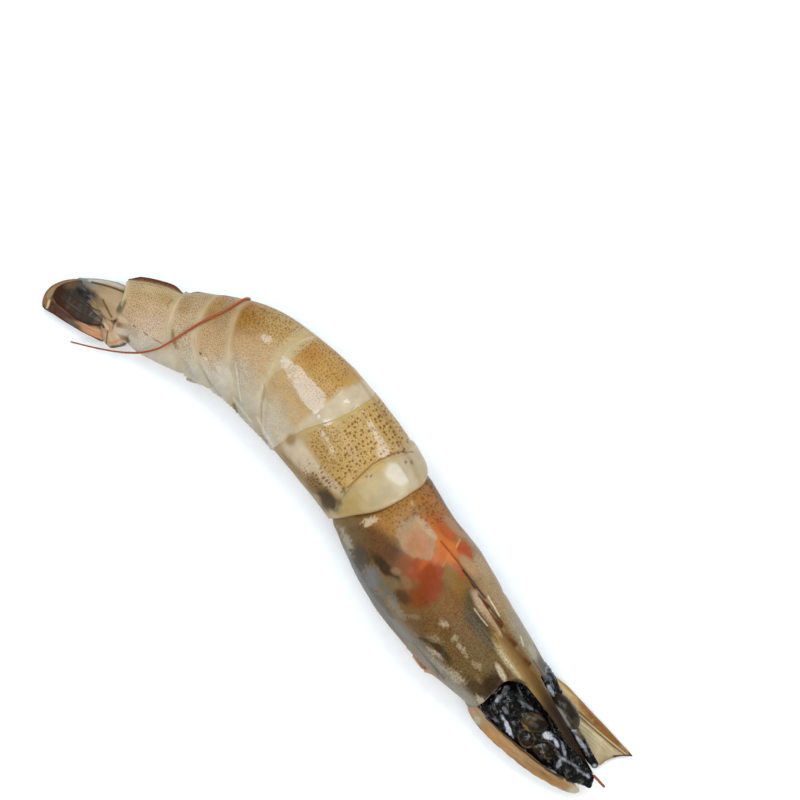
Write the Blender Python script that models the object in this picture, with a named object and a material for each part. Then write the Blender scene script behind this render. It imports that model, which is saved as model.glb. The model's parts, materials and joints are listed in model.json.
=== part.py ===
"""Raw whiteleg prawn, whole and uncooked, lying on its left side with its belly turned to -Y.

Tables and sizes below are in millimetres; meshes are in metres. +X runs from tail to head, +Z is up, and the
prawn lies on the plane z = 0. A place on the animal is given by three numbers: how far along the body line
it is (the X of the point on that line), how far to the animal's right, and how far towards its back.
"""

import bmesh
import bpy
import numpy as np

MM = 0.001
GAP = 0.3                 # clearance between neighbouring solids
FLAT = 0.25               # how deep the soft body is pressed flat where it lies
AROUND = 32               # sides of a body section
CENTRE_Y = -12.85         # moves the body line so that the whole prawn is centred across
CENTRE_X = 0.0
PLEURON_SQUARENESS = 0.84  # below 1 the lower half of a section has fuller sides

# along, across, half height, half width, roll of the back towards +Y (degrees)
BODY = np.array([
    (-80.0,  1.9,  4.0,  2.0, 90.0),
    (-70.0,  5.6,  5.8,  3.2, 89.0),
    (-62.7,  9.6,  7.3,  4.7, 88.0),
    (-52.0, 13.8,  8.9,  5.8, 86.0),
    (-46.0, 16.7, 10.0,  6.9, 82.0),
    (-38.5, 19.8, 11.1,  8.2, 77.0),
    (-26.4, 20.8, 12.0,  9.4, 69.0),
    (-12.0, 19.5, 12.5, 10.0, 58.0),
    (  3.0, 15.9, 12.0, 10.4, 44.0),
    ( 15.0, 11.3, 12.9, 11.9, 34.0),
    ( 25.0,  8.7, 13.0, 12.0, 32.0),
    ( 35.0,  6.4, 12.0, 10.9, 32.0),
    ( 45.0,  4.7, 10.4,  9.4, 32.0),
    ( 55.0,  3.1,  8.4,  7.7, 32.0),
    ( 65.0,  1.7,  6.2,  5.8, 32.0),
    ( 78.0,  0.2,  4.0,  3.6, 32.0),
])

# Where each shell ends on the body line, at five turns from the back (0) round the side to the belly (180)
EDGE_TURNS = np.array([0.0, 55.0, 95.0, 130.0, 180.0])
EDGES = {
    "carapace_front": np.array([46.0, 48.5, 48.5, 46.5, 43.0]),
    "carapace_rear": np.array([4.6, 5.4, 2.8, 2.2, 3.0]),
    "segment_1": np.array([-13.6, -15.1, -18.4, -19.8, -18.5]),
    "segment_2": np.array([-29.8, -32.0, -30.4, -24.6, -24.0]),
    "segment_3": np.array([-41.3, -42.4, -41.0, -34.0, -34.0]),
    "segment_4": np.array([-46.6, -48.5, -48.2, -43.4, -43.0]),
    "segment_5": np.array([-53.2, -54.6, -53.9, -49.6, -50.0]),
    "segment_6": np.array([-64.3, -63.9, -63.6, -61.0, -61.5]),
}

SHELL, DARK, GOLD, FAN, EYE, FLESH, LEG, ANTENNA = (
    ("abdomen_shell", (0.55, 0.41, 0.27), 0.35),
    ("head_tissue", (0.03, 0.025, 0.02), 0.25),
    ("antennal_scale", (0.60, 0.44, 0.24), 0.35),
    ("tail_fan", (0.13, 0.05, 0.03), 0.35),
    ("eye", (0.06, 0.04, 0.02), 0.15),
    ("carapace_shell", (0.30, 0.20, 0.11), 0.30),
    ("leg", (0.30, 0.24, 0.17), 0.35),
    ("antenna", (0.50, 0.13, 0.05), 0.40),
)


# ---------------------------------------------------------------- form of the body

def through(x, xs, ys):
    """Smooth curve through the points (xs, ys): cubic pieces whose slopes are the points' mean slopes."""
    x = np.asarray(x, float)
    slope = np.gradient(ys, xs)
    i = np.clip(np.searchsorted(xs, x) - 1, 0, len(xs) - 2)
    step = xs[i + 1] - xs[i]
    t = (x - xs[i]) / step
    return ((2 * t**3 - 3 * t**2 + 1) * ys[i] + (t**3 - 2 * t**2 + t) * step * slope[i]
            + (3 * t**2 - 2 * t**3) * ys[i + 1] + (t**3 - t**2) * step * slope[i + 1])


def body(x, column):
    return through(x, BODY[:, 0], BODY[:, column])


def section(turn, height, width):
    """Ellipse about the body line, fuller at the flanks below and hollowed along the belly for the limbs."""
    s, c = np.sin(turn), np.cos(turn)
    power = np.where(c < 0, PLEURON_SQUARENESS, 1.0)
    right = width * np.sign(s) * np.abs(s)**power
    back = height * np.sign(c) * np.abs(c)**power
    return right, back * np.where(c < 0, 1 - 0.20 * np.exp(-(s / 0.38)**2), 1.0)


def rest_height(x):
    """Height of the body line at which the rolled section just presses its lowest point flat."""
    turn = np.linspace(0, 2 * np.pi, 97)
    right, back = section(turn, body(x, 2)[..., None], body(x, 3)[..., None])
    roll = np.radians(body(x, 4))[..., None]
    return -(back * np.cos(roll) + right * np.sin(roll)).min(-1) - FLAT


def place(x, right, back):
    """Point in space, in millimetres, from along the body line, to the right and towards the back."""
    x, right, back = np.broadcast_arrays(*(np.asarray(v, float) for v in (x, right, back)))
    heading = np.arctan2(body(x + 0.05, 1) - body(x - 0.05, 1), 0.1)
    roll = np.radians(body(x, 4))
    across = back * np.sin(roll) - right * np.cos(roll)
    up = back * np.cos(roll) + right * np.sin(roll)
    return np.stack([x - np.sin(heading) * across + CENTRE_X,
                     body(x, 1) + np.cos(heading) * across + CENTRE_Y,
                     rest_height(x) + up], -1)


def skin(x, turn, grow=0.0):
    """Point on the body's surface, grown outwards by so many millimetres."""
    right, back = section(turn, body(x, 2) + grow, body(x, 3) + grow)
    return place(x, right, back)


def edge(name, turn):
    """Where the named shell edge crosses each turn; both sides of the animal are alike."""
    away = np.degrees(np.abs((turn + np.pi) % (2 * np.pi) - np.pi))
    return through(away, EDGE_TURNS, EDGES[name])


# ---------------------------------------------------------------- objects from forms

def material(name, color, roughness):
    if name in bpy.data.materials:
        return bpy.data.materials[name]
    made = bpy.data.materials.new(name)
    made.use_nodes = True
    shader = made.node_tree.nodes["Principled BSDF"]
    shader.inputs["Base Color"].default_value = (*color, 1.0)
    shader.inputs["Roughness"].default_value = roughness
    shader.inputs["Metallic"].default_value = 0.0
    return made


def add_object(name, points, faces, finish):
    """Closed body from points in millimetres, with nothing below the plane that it lies on."""
    points = np.asarray(points, float) * MM
    points[:, 2] = np.maximum(points[:, 2], 0.0)
    mesh = bpy.data.meshes.new(name)
    mesh.from_pydata(points.tolist(), [], faces)
    build = bmesh.new()
    build.from_mesh(mesh)
    bmesh.ops.recalc_face_normals(build, faces=build.faces)
    bmesh.ops.triangulate(build, faces=build.faces)
    build.to_mesh(mesh)
    build.free()
    mesh.materials.append(material(*finish))
    mesh.shade_smooth()
    made = bpy.data.objects.new(name, mesh)
    prawn.objects.link(made)
    return made


def loft(name, rings, finish, first=None, last=None):
    """Skin over rings of points; each end closes in a fan on a point, by default the middle of its ring."""
    count, sides = rings.shape[:2]
    first = rings[0].mean(0) if first is None else first
    last = rings[-1].mean(0) if last is None else last
    points = np.vstack([rings.reshape(-1, 3), first, last])
    faces = []
    for j in range(sides):
        k = (j + 1) % sides
        faces.append((j, k, count * sides))
        faces += [(i * sides + j, i * sides + k, (i + 1) * sides + k, (i + 1) * sides + j)
                  for i in range(count - 1)]
        faces.append(((count - 1) * sides + k, (count - 1) * sides + j, count * sides + 1))
    return add_object(name, points, faces, finish)


def limb(name, route, finish, facing=(0.0, 0.0, 1.0), sides=8, rings=9, tip=0.6):
    """Tapering rod of oval section along a smooth route.

    Each row of the route is a point in millimetres, then the half breadth and the half thickness there. The
    thickness points as nearly along `facing` as the route allows.
    """
    route = np.asarray(route, float)
    step = np.r_[0, np.cumsum(np.linalg.norm(np.diff(route[:, :3], axis=0), axis=1))]
    at = np.linspace(0, step[-1], rings)
    line = np.stack([through(at, step, route[:, k]) for k in range(5)], -1)
    along = np.gradient(line[:, :3], axis=0)
    along /= np.linalg.norm(along, axis=1, keepdims=True)
    facing = np.asarray(facing, float)
    up = facing - along * (along @ facing)[:, None]
    up /= np.linalg.norm(up, axis=1, keepdims=True)
    side = np.cross(along, up)
    turn = np.arange(sides) * 2 * np.pi / sides
    rings_of_points = (line[:, None, :3]
                       + side[:, None] * (line[:, 3, None] * np.cos(turn))[..., None]
                       + up[:, None] * (line[:, 4, None] * np.sin(turn))[..., None])
    ends = [line[0, :3] - along[0] * line[0, 4] * tip, line[-1, :3] + along[-1] * line[-1, 4] * tip]
    return loft(name, rings_of_points, finish, *ends)


def guide(shape):
    """Moves a shape that is only joined to another one out of the prawn's own collection."""
    prawn.objects.unlink(shape)
    guides.objects.link(shape)
    shape.hide_render = True
    shape.display_type = "WIRE"
    return shape


def join(target, ridge):
    """Boolean union that makes one solid of a shell and its ridge."""
    union = target.modifiers.new(ridge.name, "BOOLEAN")
    union.operation = "UNION"
    union.solver = "EXACT"
    union.object = ridge


def spots(*rows):
    """Rows of (along, right, back, half breadth, half thickness) as the rows that limb() takes."""
    rows = np.asarray(rows, float)
    return np.hstack([place(rows[:, 0], rows[:, 1], rows[:, 2]), rows[:, 3:]])


# ---------------------------------------------------------------- carapace with its rostrum

def carapace():
    """Shield over head and thorax: rises from its rear edge, hollowed at the front where the head shows."""
    turn = np.arange(AROUND) * 2 * np.pi / AROUND
    rear, front = edge("carapace_rear", turn), edge("carapace_front", turn)
    shares = np.array([0.0, 0.03, 0.10, 0.20, 0.32, 0.45, 0.58, 0.70, 0.82, 0.92, 1.0])
    grow = np.array([0.0, 0.15, 0.2, 0.1, 0.0, 0.0, 0.0, 0.0, 0.0, 0.0, 0.0])
    rings = [skin(rear, turn, -0.6)]
    rings += [skin(rear + share * (front - rear), turn, g) for share, g in zip(shares, grow)]
    hollow = 4.0
    rings.append(skin(front - 0.2, turn, -1.0))
    rings.append(skin(front - hollow, turn, -1.3))
    last = place(43.0 - hollow, 0.0, -1.0)
    return loft("carapace", np.array(rings), FLESH, first=place(rear.mean(), 0.0, 0.0), last=last)


ROSTRUM_ALONG = np.array([22.0, 34.0, 44.0, 52.0, 60.0, 67.0, 74.8])
ROSTRUM_TOP = np.array([13.3, 12.9, 11.9, 10.7, 8.6, 5.6, 2.0])
ROSTRUM_LOW = np.array([11.2, 10.4, 9.0, 7.4, 5.8, 3.6, 1.4])
ROSTRUM_HALF_WIDTH = np.array([0.3, 1.6, 2.0, 1.7, 1.2, 0.7, 0.2])
TEETH = 8
FIRST_TOOTH, LAST_TOOTH = 26.0, 64.0
TOOTH_HEIGHT = 0.8


def rostrum():
    """Blade on the midline with a row of forward-pointing teeth; each rises slowly and drops at its point."""
    pitch = (LAST_TOOTH - FIRST_TOOTH) / TEETH
    starts = FIRST_TOOTH + pitch * np.arange(TEETH)
    along = np.sort(np.r_[ROSTRUM_ALONG, starts, starts + 0.80 * pitch, starts + 0.92 * pitch])
    share = ((along - FIRST_TOOTH) / pitch) % 1.0
    toothed = (along >= FIRST_TOOTH) & (along <= LAST_TOOTH)
    tooth = np.where(toothed, np.interp(share, [0.0, 0.80, 0.92, 1.0], [0.0, 1.0, 0.0, 0.0]), 0.0)
    top = through(along, ROSTRUM_ALONG, ROSTRUM_TOP)
    low = through(along, ROSTRUM_ALONG, ROSTRUM_LOW)
    half = through(along, ROSTRUM_ALONG, ROSTRUM_HALF_WIDTH)
    # top ridge, right shoulder, right foot, keel, left foot, left shoulder
    right = half[:, None] * np.array([0.0, 1.0, 0.7, 0.0, -0.7, -1.0])
    level = np.array([0.0, 0.55, 0.95, 1.0, 0.95, 0.55])
    back = (top + tooth * TOOTH_HEIGHT)[:, None] - level * (top + tooth * TOOTH_HEIGHT - low)[:, None]
    return guide(loft("rostrum_blade", place(along[:, None], right, back), FLESH))


# ---------------------------------------------------------------- abdomen

def abdomen_segment(number, front_edge, rear_edge):
    """One shell of the abdomen: its front slides under the shell ahead, its rear lip stands proud."""
    turn = np.arange(AROUND) * 2 * np.pi / AROUND
    front, rear = edge(front_edge, turn) - GAP, edge(rear_edge, turn)
    if number == 1:       # the smooth front of the first shell shows, and bulges over the carapace's edge
        profile = [(0.0, -0.6), (0.06, 0.5), (0.22, 0.9), (0.36, 0.7), (0.42, 0.1), (0.75, 0.3), (1.0, 0.2),
                   (1.0, -0.6)]
    else:
        profile = [(0.0, -0.6), (0.12, -0.3), (0.35, 0.1), (0.7, 0.35), (1.0, 0.25), (1.0, -0.6)]
    rings = [skin(front + share * (rear - front), turn, grow) for share, grow in profile]
    return loft(f"abdomen_segment_{number}", np.array(rings), SHELL,
                first=place(front.mean(), 0.0, 0.0), last=place(rear.mean(), 0.0, 0.0))


def keel(number, begin, end, height):
    """Sharp ridge along the back of a shell, ending in a small point at the rear."""
    along = np.linspace(end, begin, 7)
    rise = height * np.array([0.55, 1.0, 1.0, 0.9, 0.7, 0.4, 0.0])
    crest = body(along, 2) + 0.2 + rise
    right = np.array([0.0, 0.7, 0.9, -0.9, -0.7])
    back = np.stack([crest, crest - rise - 0.3, crest - rise - 1.4, crest - rise - 1.4, crest - rise - 0.3], -1)
    return guide(loft(f"keel_{number}", place(along[:, None], right, back), SHELL))


# ---------------------------------------------------------------- tail fan

def telson():
    """Pointed middle piece of the tail fan, with a ridge along its back."""
    along = np.array([-64.9, -67.0, -69.5, -72.0, -74.2, -75.4])
    ridge = np.array([6.0, 6.1, 5.8, 5.3, 4.6, 3.8])
    half = np.array([2.0, 2.2, 1.9, 1.4, 0.7, 0.25])
    deep = np.array([2.0, 2.0, 1.9, 1.6, 1.1, 0.5])
    right = half[:, None] * np.array([0.0, 0.45, 1.0, 0.6, -0.6, -1.0, -0.45])
    back = ridge[:, None] - deep[:, None] * np.array([0.0, 0.25, 0.7, 1.0, 1.0, 0.7, 0.25])
    return loft("telson", place(along[:, None], right, back), FAN)


def blade(name, outline, right, thickness, finish, bow=0.0):
    """Leaf-shaped plate standing beside the midline.

    Each row of the outline is (along, belly-side edge, back-side edge); the plate lies at `right`, bows by
    `bow` away from the midline and has the given thickness.
    """
    outline = np.asarray(outline, float)
    share = np.array([0.0, 0.25, 0.5, 0.75, 1.0])
    back = outline[:, 1, None] + (outline[:, 2] - outline[:, 1])[:, None] * share
    lift = 4 * share * (1 - share)
    side = np.sign(right)
    taper = np.array([0.3, 0.9, 1.0, 0.9, 0.3])
    offset = right + side * bow * (lift - 0.5)
    outer = place(outline[:, 0, None], offset + side * thickness / 2 * taper, back)
    inner = place(outline[:, 0, None], offset - side * thickness / 2 * taper, back)
    return loft(name, np.concatenate([outer, inner[:, ::-1]], axis=1), finish)


PROTOPOD = [(-62.2, -6.8, -5.2), (-63.3, -6.6, -3.2), (-64.6, -6.3, 0.0), (-65.6, -6.0, 0.8),
            (-66.6, -5.7, 0.4)]
EXOPOD = [(-67.0, -5.7, -1.6), (-69.5, -5.6, 0.6), (-72.0, -5.3, 1.6), (-74.8, -4.6, 1.8), (-77.2, -3.5, 1.2),
          (-78.7, -1.9, 0.2)]
ENDOPOD = [(-65.6, 1.7, 2.9), (-67.2, 1.2, 3.2), (-69.0, -1.3, 3.2), (-71.0, -2.3, 3.1), (-73.4, -2.1, 2.7),
           (-75.6, -1.2, 2.2), (-76.8, 0.2, 1.4)]


def tail_fan():
    telson()
    for side, sign in (("right", 1), ("left", -1)):
        blade(f"uropod_protopod_{side}", PROTOPOD, sign * 2.1, 2.0, FAN, bow=0.8)
        blade(f"uropod_exopod_{side}", EXOPOD, sign * 0.85, 0.7, FAN, bow=0.6)
        blade(f"uropod_endopod_{side}", ENDOPOD, sign * 2.2, 0.7, FAN, bow=0.6)


# ---------------------------------------------------------------- head

def head():
    """Dark soft parts in front of the carapace: mouth region, eyes, feeler bases and the two flat scales."""
    turn = np.arange(14) * 2 * np.pi / 14
    along = np.array([45.0, 46.5, 50.0, 55.0, 60.0, 65.0, 69.0])
    tall = np.array([5.5, 6.4, 6.4, 5.4, 4.0, 2.8, 1.6])
    wide = np.array([5.0, 5.6, 4.6, 3.4, 2.6, 2.2, 1.2])
    low = np.array([-1.0, -1.0, -1.2, -1.4, -1.6, -1.6, -1.6])
    rings = place(along[:, None], wide[:, None] * np.sin(turn), low[:, None] + tall[:, None] * np.cos(turn))
    loft("head_core", rings, DARK)

    for side, sign in (("right", 1), ("left", -1)):
        eye(side, sign)
        limb(f"antennule_{side}", spots((65.4, sign * 3.6, 1.4, 0.9, 0.9), (69.0, sign * 3.2, 1.2, 1.3, 1.2),
                                        (73.0, sign * 2.4, 0.8, 1.2, 1.1), (76.2, sign * 1.5, 0.2, 0.5, 0.5)),
             DARK)
    limb("antenna_base_right", spots((50.4, 6.4, -3.4, 0.9, 0.9), (54.0, 5.9, -3.2, 1.5, 1.4),
                                     (59.0, 5.2, -2.8, 1.5, 1.4), (63.0, 4.6, -2.4, 0.9, 0.8)), DARK)
    limb("antenna_base_left", spots((50.4, -6.4, -0.6, 0.9, 0.9), (54.0, -5.9, -0.4, 1.2, 1.2),
                                    (58.0, -5.2, -0.8, 1.2, 1.1), (62.0, -4.4, -1.4, 0.8, 0.7)), DARK)


EYE_PLACES = {"right": (58.6, 5.0, 4.6), "left": (61.6, -5.4, 2.9)}
EYE_RADII = (3.4, 2.4, 2.5)


def eye(side, sign):
    """Round cornea, a little longer than wide, on the end of its short stalk."""
    build = bmesh.new()
    bmesh.ops.create_uvsphere(build, u_segments=14, v_segments=9, radius=1.0)
    sphere = np.array([v.co[:] for v in build.verts])
    faces = [tuple(v.index for v in face.verts) for face in build.faces]
    build.free()
    x, right, back = EYE_PLACES[side]
    long, wide, tall = EYE_RADII
    add_object(f"eye_{side}", place(x + sphere[:, 2] * long, right + sphere[:, 0] * wide,
                                    back + sphere[:, 1] * tall), faces, EYE)


# outer edge and inner edge of each scale as (along, across, height), from its base to its front
SCALE_LEFT = [((54.0, 11.6, 2.4), (56.0, 5.4, 1.9)), ((60.0, 11.7, 2.1), (61.0, 3.8, 1.5)),
              ((66.0, 11.2, 1.8), (67.0, 3.2, 1.2)), ((72.0, 10.7, 1.5), (72.0, 3.1, 1.0)),
              ((75.2, 10.4, 1.3), (74.6, 4.4, 0.9)), ((78.3, 9.9, 1.2), (77.2, 8.9, 1.0))]
SCALE_RIGHT = [((47.6, -5.6, 7.4), (48.3, -4.6, 10.4)), ((50.4, -6.4, 5.8), (51.0, -5.2, 10.6)),
               ((56.0, -6.8, 4.4), (56.5, -4.9, 10.4)), ((62.0, -6.7, 3.4), (62.0, -4.5, 9.6)),
               ((68.0, -6.0, 2.8), (68.0, -4.0, 8.6)), ((72.4, -5.1, 2.6), (72.8, -3.6, 7.2)),
               ((74.6, -4.2, 3.4), (74.6, -3.4, 5.4))]


def antennal_scale(side, edges, thickness, rise):
    """Flat blade beside the head: thick along its outer edge, thin inside, bowed a little upwards."""
    outer, inner = (np.array([row[k] for row in edges]) + [CENTRE_X, CENTRE_Y, 0.0] for k in (0, 1))
    share = np.array([0.0, 0.15, 0.5, 0.85, 1.0])[:, None, None]
    middle = (outer + (inner - outer) * share).transpose(1, 0, 2)
    normal = np.cross(outer - inner, np.gradient(outer, axis=0))
    normal *= np.sign(normal[:, 2:]) / np.linalg.norm(normal, axis=1, keepdims=True)
    bow = rise * np.array([0.0, 0.6, 1.0, 0.6, 0.0])[:, None]
    half = thickness / 2 * np.array([0.5, 1.0, 0.8, 0.5, 0.25])[:, None]
    upper = middle + normal[:, None] * (bow + half)
    lower = middle + normal[:, None] * (bow - half)
    return loft(f"antennal_scale_{side}", np.concatenate([upper, lower[:, ::-1]], axis=1), GOLD)


# ---------------------------------------------------------------- limbs under the body

def below(x, share):
    """Distance towards the back of a point on the belly side, as a share of the body's half height."""
    return -float(body(x, 2)) * share


LEG_PAIRS = 5
SWIMMERETS = (-9.5, -22.5, -33.5, -41.0, -48.0)


def legs():
    """Five pairs of walking legs folded back under the thorax; the left ones lie along the board."""
    for i in range(LEG_PAIRS):
        hip, knee, tip = (36.0 - 5.4 * i - reach for reach in (0.0, 5.5, 11.5))
        limb(f"leg_right_{i + 1}", spots((hip, 2.6, below(hip, 0.84) - 1.0, 0.8, 0.8),
                                         (knee, 4.6, below(knee, 0.95) - 0.6, 0.75, 0.7),
                                         (tip, 7.2, below(tip, 0.91) - 0.5, 0.4, 0.4)), LEG)
        limb(f"leg_left_{i + 1}", spots((hip, -1.6, below(hip, 0.84) - 0.9, 0.75, 0.7),
                                        (knee, 0.4, below(knee, 1.0) - 0.7, 0.7, 0.65),
                                        (tip, 2.8, below(tip, 1.0) - 2.2, 0.4, 0.4)), LEG)


def maxillipeds():
    """Last pair of mouth limbs, stretched forwards under the head."""
    for side, offset in (("right", 3.0), ("left", 0.2)):
        limb(f"maxilliped_{side}", spots((41.5, offset, -10.6, 0.9, 0.8), (48.0, offset + 0.1, -9.9, 0.9, 0.8),
                                         (55.0, offset * 0.9 + 0.2, -8.6, 0.8, 0.7),
                                         (61.0, offset * 0.8 + 0.2, -7.2, 0.4, 0.4)), LEG)


def swimmerets():
    """Five pairs of flat paddles under the abdomen, folded forwards along the belly."""
    for i, x in enumerate(SWIMMERETS):
        size = float(body(x, 3)) / 10.0
        for side, sign in (("right", 1), ("left", -1)):
            r = sign * 2.5 * size
            limb(f"swimmeret_{side}_{i + 1}",
                 spots((x - 0.8 * size, r, below(x, 0.84) - 1.3, 1.3 * size, 0.8 * size),
                       (x + 1.6 * size, r * 1.1, below(x, 0.92) - 1.0, 1.8 * size, 0.7 * size),
                       (x + 4.8 * size, r * 1.15, below(x, 0.97) - 0.7, 1.6 * size, 0.5 * size),
                       (x + 7.4 * size, r * 1.1, below(x, 0.98) - 0.6, 0.6 * size, 0.35 * size)),
                 LEG, facing=(0.0, -1.0, 0.0), rings=6)


# ---------------------------------------------------------------- antennae

ANTENNA_RADIUS = 0.33
# Along the board under the overhanging back, in along, across, height
ANTENNA_UNDER = [(51.0, 8.0, 2.0), (46.0, 10.6, 0.6), (36.0, 13.2, 0.4), (22.0, 17.2, 0.4), (6.0, 22.2, 0.4),
                 (-10.0, 27.0, 0.4), (-26.0, 28.8, 0.4), (-36.0, 28.6, 0.5)]
# Round the back and over the tail, in along the body line and turn from the back (degrees)
ANTENNA_OVER = [(-40.4, -35.0), (-41.7, 4.0), (-44.0, 39.0), (-48.0, 66.0), (-51.0, 87.0), (-53.7, 109.0)]
# Off the belly side and down to the board
ANTENNA_BEYOND = [(-53.3, 7.9, 11.0), (-54.6, 5.9, 9.6), (-57.0, 3.6, 7.4), (-60.0, 1.5, 4.6), (-64.0, -0.8, 1.8),
                  (-67.7, -2.7, 0.5)]


def tube(name, points, radii, finish):
    """Round rod along points in millimetres, as a bevelled curve with filled ends."""
    data = bpy.data.curves.new(name, "CURVE")
    data.dimensions = "3D"
    data.bevel_depth = MM
    data.bevel_resolution = 1
    data.use_fill_caps = True
    line = data.splines.new("POLY")
    line.points.add(len(points) - 1)
    for point, place_mm, radius in zip(line.points, points, radii):
        point.co = (*(place_mm * MM), 1.0)
        point.radius = radius
    data.materials.append(material(*finish))
    made = bpy.data.objects.new(name, data)
    prawn.objects.link(made)
    return made


def antennae():
    """One long feeler runs back under the body and over the tail; of the other only a stub is left."""
    clear = ANTENNA_RADIUS + GAP + 0.4
    over = np.array(ANTENNA_OVER)
    shift = np.array([CENTRE_X, CENTRE_Y, 0.0])
    knots = np.vstack([np.array(ANTENNA_UNDER) + shift, skin(over[:, 0], np.radians(over[:, 1]), clear),
                       np.array(ANTENNA_BEYOND) + shift])
    length = np.r_[0, np.cumsum(np.linalg.norm(np.diff(knots, axis=0), axis=1))]
    at = np.linspace(0, length[-1], 64)
    points = np.stack([through(at, length, knots[:, k]) for k in range(3)], -1)
    points[:, 2] = np.maximum(points[:, 2], ANTENNA_RADIUS + 0.02)
    tube("antenna_long", points, np.interp(at, [0, length[-1] * 0.8, length[-1]], [0.33, 0.3, 0.16]), ANTENNA)
    stub = np.array([(76.4, 1.25, 6.2), (77.4, 1.15, 6.2), (78.4, 1.05, 6.1)]) + shift
    tube("antenna_stub", stub, [0.3, 0.3, 0.28], ANTENNA)


# ---------------------------------------------------------------- build

for old in list(bpy.data.objects):
    bpy.data.objects.remove(old)
prawn = bpy.data.collections.new("whiteleg_prawn")
guides = bpy.data.collections.new("guides")
for group in (prawn, guides):
    bpy.context.scene.collection.children.link(group)

join(carapace(), rostrum())
shell_edges = list(EDGES)[1:]
shells = [abdomen_segment(n, shell_edges[n - 1], shell_edges[n]) for n in range(1, 7)]
join(shells[3], keel(4, -43.0, -46.4, 0.5))
join(shells[4], keel(5, -48.5, -53.0, 0.6))
join(shells[5], keel(6, -55.0, -64.0, 1.0))
tail_fan()
head()
antennal_scale("left", SCALE_LEFT, 0.9, 0.6)
antennal_scale("right", SCALE_RIGHT, 0.9, 0.5)
legs()
maxillipeds()
swimmerets()
antennae()
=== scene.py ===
"""Raw whiteleg prawn, head on, lying on its left side on a pale board.

Places are in millimetres and follow the animal: how far along the body line, how far to its right, how far
towards its back, or how far turned round the body from the middle of the back. Meshes are in metres.
"""

import json

import bpy
import numpy as np
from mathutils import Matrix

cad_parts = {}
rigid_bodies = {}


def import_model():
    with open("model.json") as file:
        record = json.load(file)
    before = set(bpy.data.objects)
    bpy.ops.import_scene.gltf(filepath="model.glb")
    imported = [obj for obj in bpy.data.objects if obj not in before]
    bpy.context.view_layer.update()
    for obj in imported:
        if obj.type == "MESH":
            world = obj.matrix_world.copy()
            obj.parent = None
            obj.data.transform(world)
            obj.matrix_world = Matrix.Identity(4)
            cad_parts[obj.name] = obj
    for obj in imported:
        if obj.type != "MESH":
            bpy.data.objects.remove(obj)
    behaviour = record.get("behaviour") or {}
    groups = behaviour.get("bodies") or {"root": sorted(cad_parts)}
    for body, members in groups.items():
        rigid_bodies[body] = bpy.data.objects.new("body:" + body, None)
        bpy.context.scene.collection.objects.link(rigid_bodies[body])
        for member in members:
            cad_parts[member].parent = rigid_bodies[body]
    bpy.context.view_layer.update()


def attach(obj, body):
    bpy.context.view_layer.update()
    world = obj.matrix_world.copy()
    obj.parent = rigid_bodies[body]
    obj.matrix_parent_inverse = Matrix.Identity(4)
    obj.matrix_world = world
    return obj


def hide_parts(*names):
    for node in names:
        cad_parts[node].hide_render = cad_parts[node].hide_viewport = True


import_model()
for other in list(bpy.data.objects):
    if other.type in ("LIGHT", "CAMERA"):
        bpy.data.objects.remove(other)


# ---------------------------------------------------------------- board, softboxes and camera
# The prawn lies on a pale matt board in a white room. Softboxes and small lamps facing down hang beside its
# tail half, behind its back and, large and dim, over its belly side; the camera looks straight down.

MM = 0.001
FRAME_WIDTH = 168.0          # what the camera sees across, at the height of the prawn's middle
FRAME_CENTRE = (-7.6, 20.95, 12)
FRAME_RIGHT = (0.751, 0.660, 0)
LENS, SENSOR = 200.0, 36.0   # a long lens, so that what stands higher looks hardly larger
BOARD = 3.2                  # metres across
LAMP_HEIGHT = 0.5            # metres
ROOM_LIGHT = 0.34            # share of a white board's own radiance that comes from all round
COOL_WHITE = (0.88, 0.99, 1.10)


def linear(color):
    """Linear red, green and blue of an sRGB hex value such as "c8a070"."""
    part = np.array([int(color[i:i + 2], 16) for i in (0, 2, 4)]) / 255
    return np.where(part > 0.04045, ((part + 0.055) / 1.055)**2.4, part / 12.92)


def feed(node, inputs):
    """Sets a node's inputs: each takes a plain value, an output socket, or a node, for its first output."""
    for name, value in inputs.items():
        if isinstance(value, bpy.types.Node):
            value = value.outputs[0]
        if isinstance(value, bpy.types.NodeSocket):
            node.id_data.links.new(value, node.inputs[name])
        else:
            node.inputs[name].default_value = value
    return node


def add_node(tree, kind, inputs=None, **settings):
    """Adds a node with its settings and its inputs."""
    made = tree.nodes.new(kind)
    for name, value in settings.items():
        setattr(made, name, value)
    return feed(made, inputs or {})


def new_finish(name):
    """A material of that name, its node tree, its Principled shader and the places on its piece."""
    finish = bpy.data.materials.new(name)
    finish.use_nodes = True
    tree = finish.node_tree
    return finish, tree, tree.nodes["Principled BSDF"], add_node(tree, "ShaderNodeTexCoord").outputs["Object"]


def softbox(name, centre, size, radiance, color=(1.0, 1.0, 1.0), turned=0.0):
    """Light panel facing straight down, turned in degrees; radiance is in units of a white board's own."""
    data = bpy.data.lights.new(name, "AREA")
    data.shape = "RECTANGLE"
    data.color = color
    data.size, data.size_y = size
    data.energy = radiance * 4.0 * size[0] * size[1]
    made = bpy.data.objects.new(name, data)
    made.location = (*centre, LAMP_HEIGHT)
    made.rotation_euler = (0, 0, np.radians(turned))
    made.visible_camera = False
    bpy.context.scene.collection.objects.link(made)


def painted_board():
    """Painted board: matt white paint rolled on, with a faint orange-peel of about 2 mm."""
    finish, tree, shader, place_in = new_finish("matt_white_paint")
    peel = add_node(tree, "ShaderNodeTexNoise", {"Vector": place_in, "Scale": 500.0, "Detail": 1.0})
    tint = add_node(tree, "ShaderNodeMix", {"Factor": peel, "A": (*linear("f6f5f3"), 1),
                                            "B": (*linear("fafaf8"), 1)}, data_type="RGBA")
    feed(shader, {"Base Color": tint.outputs["Result"], "Roughness": 0.8, "Specular IOR Level": 0.2})
    return finish


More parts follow.
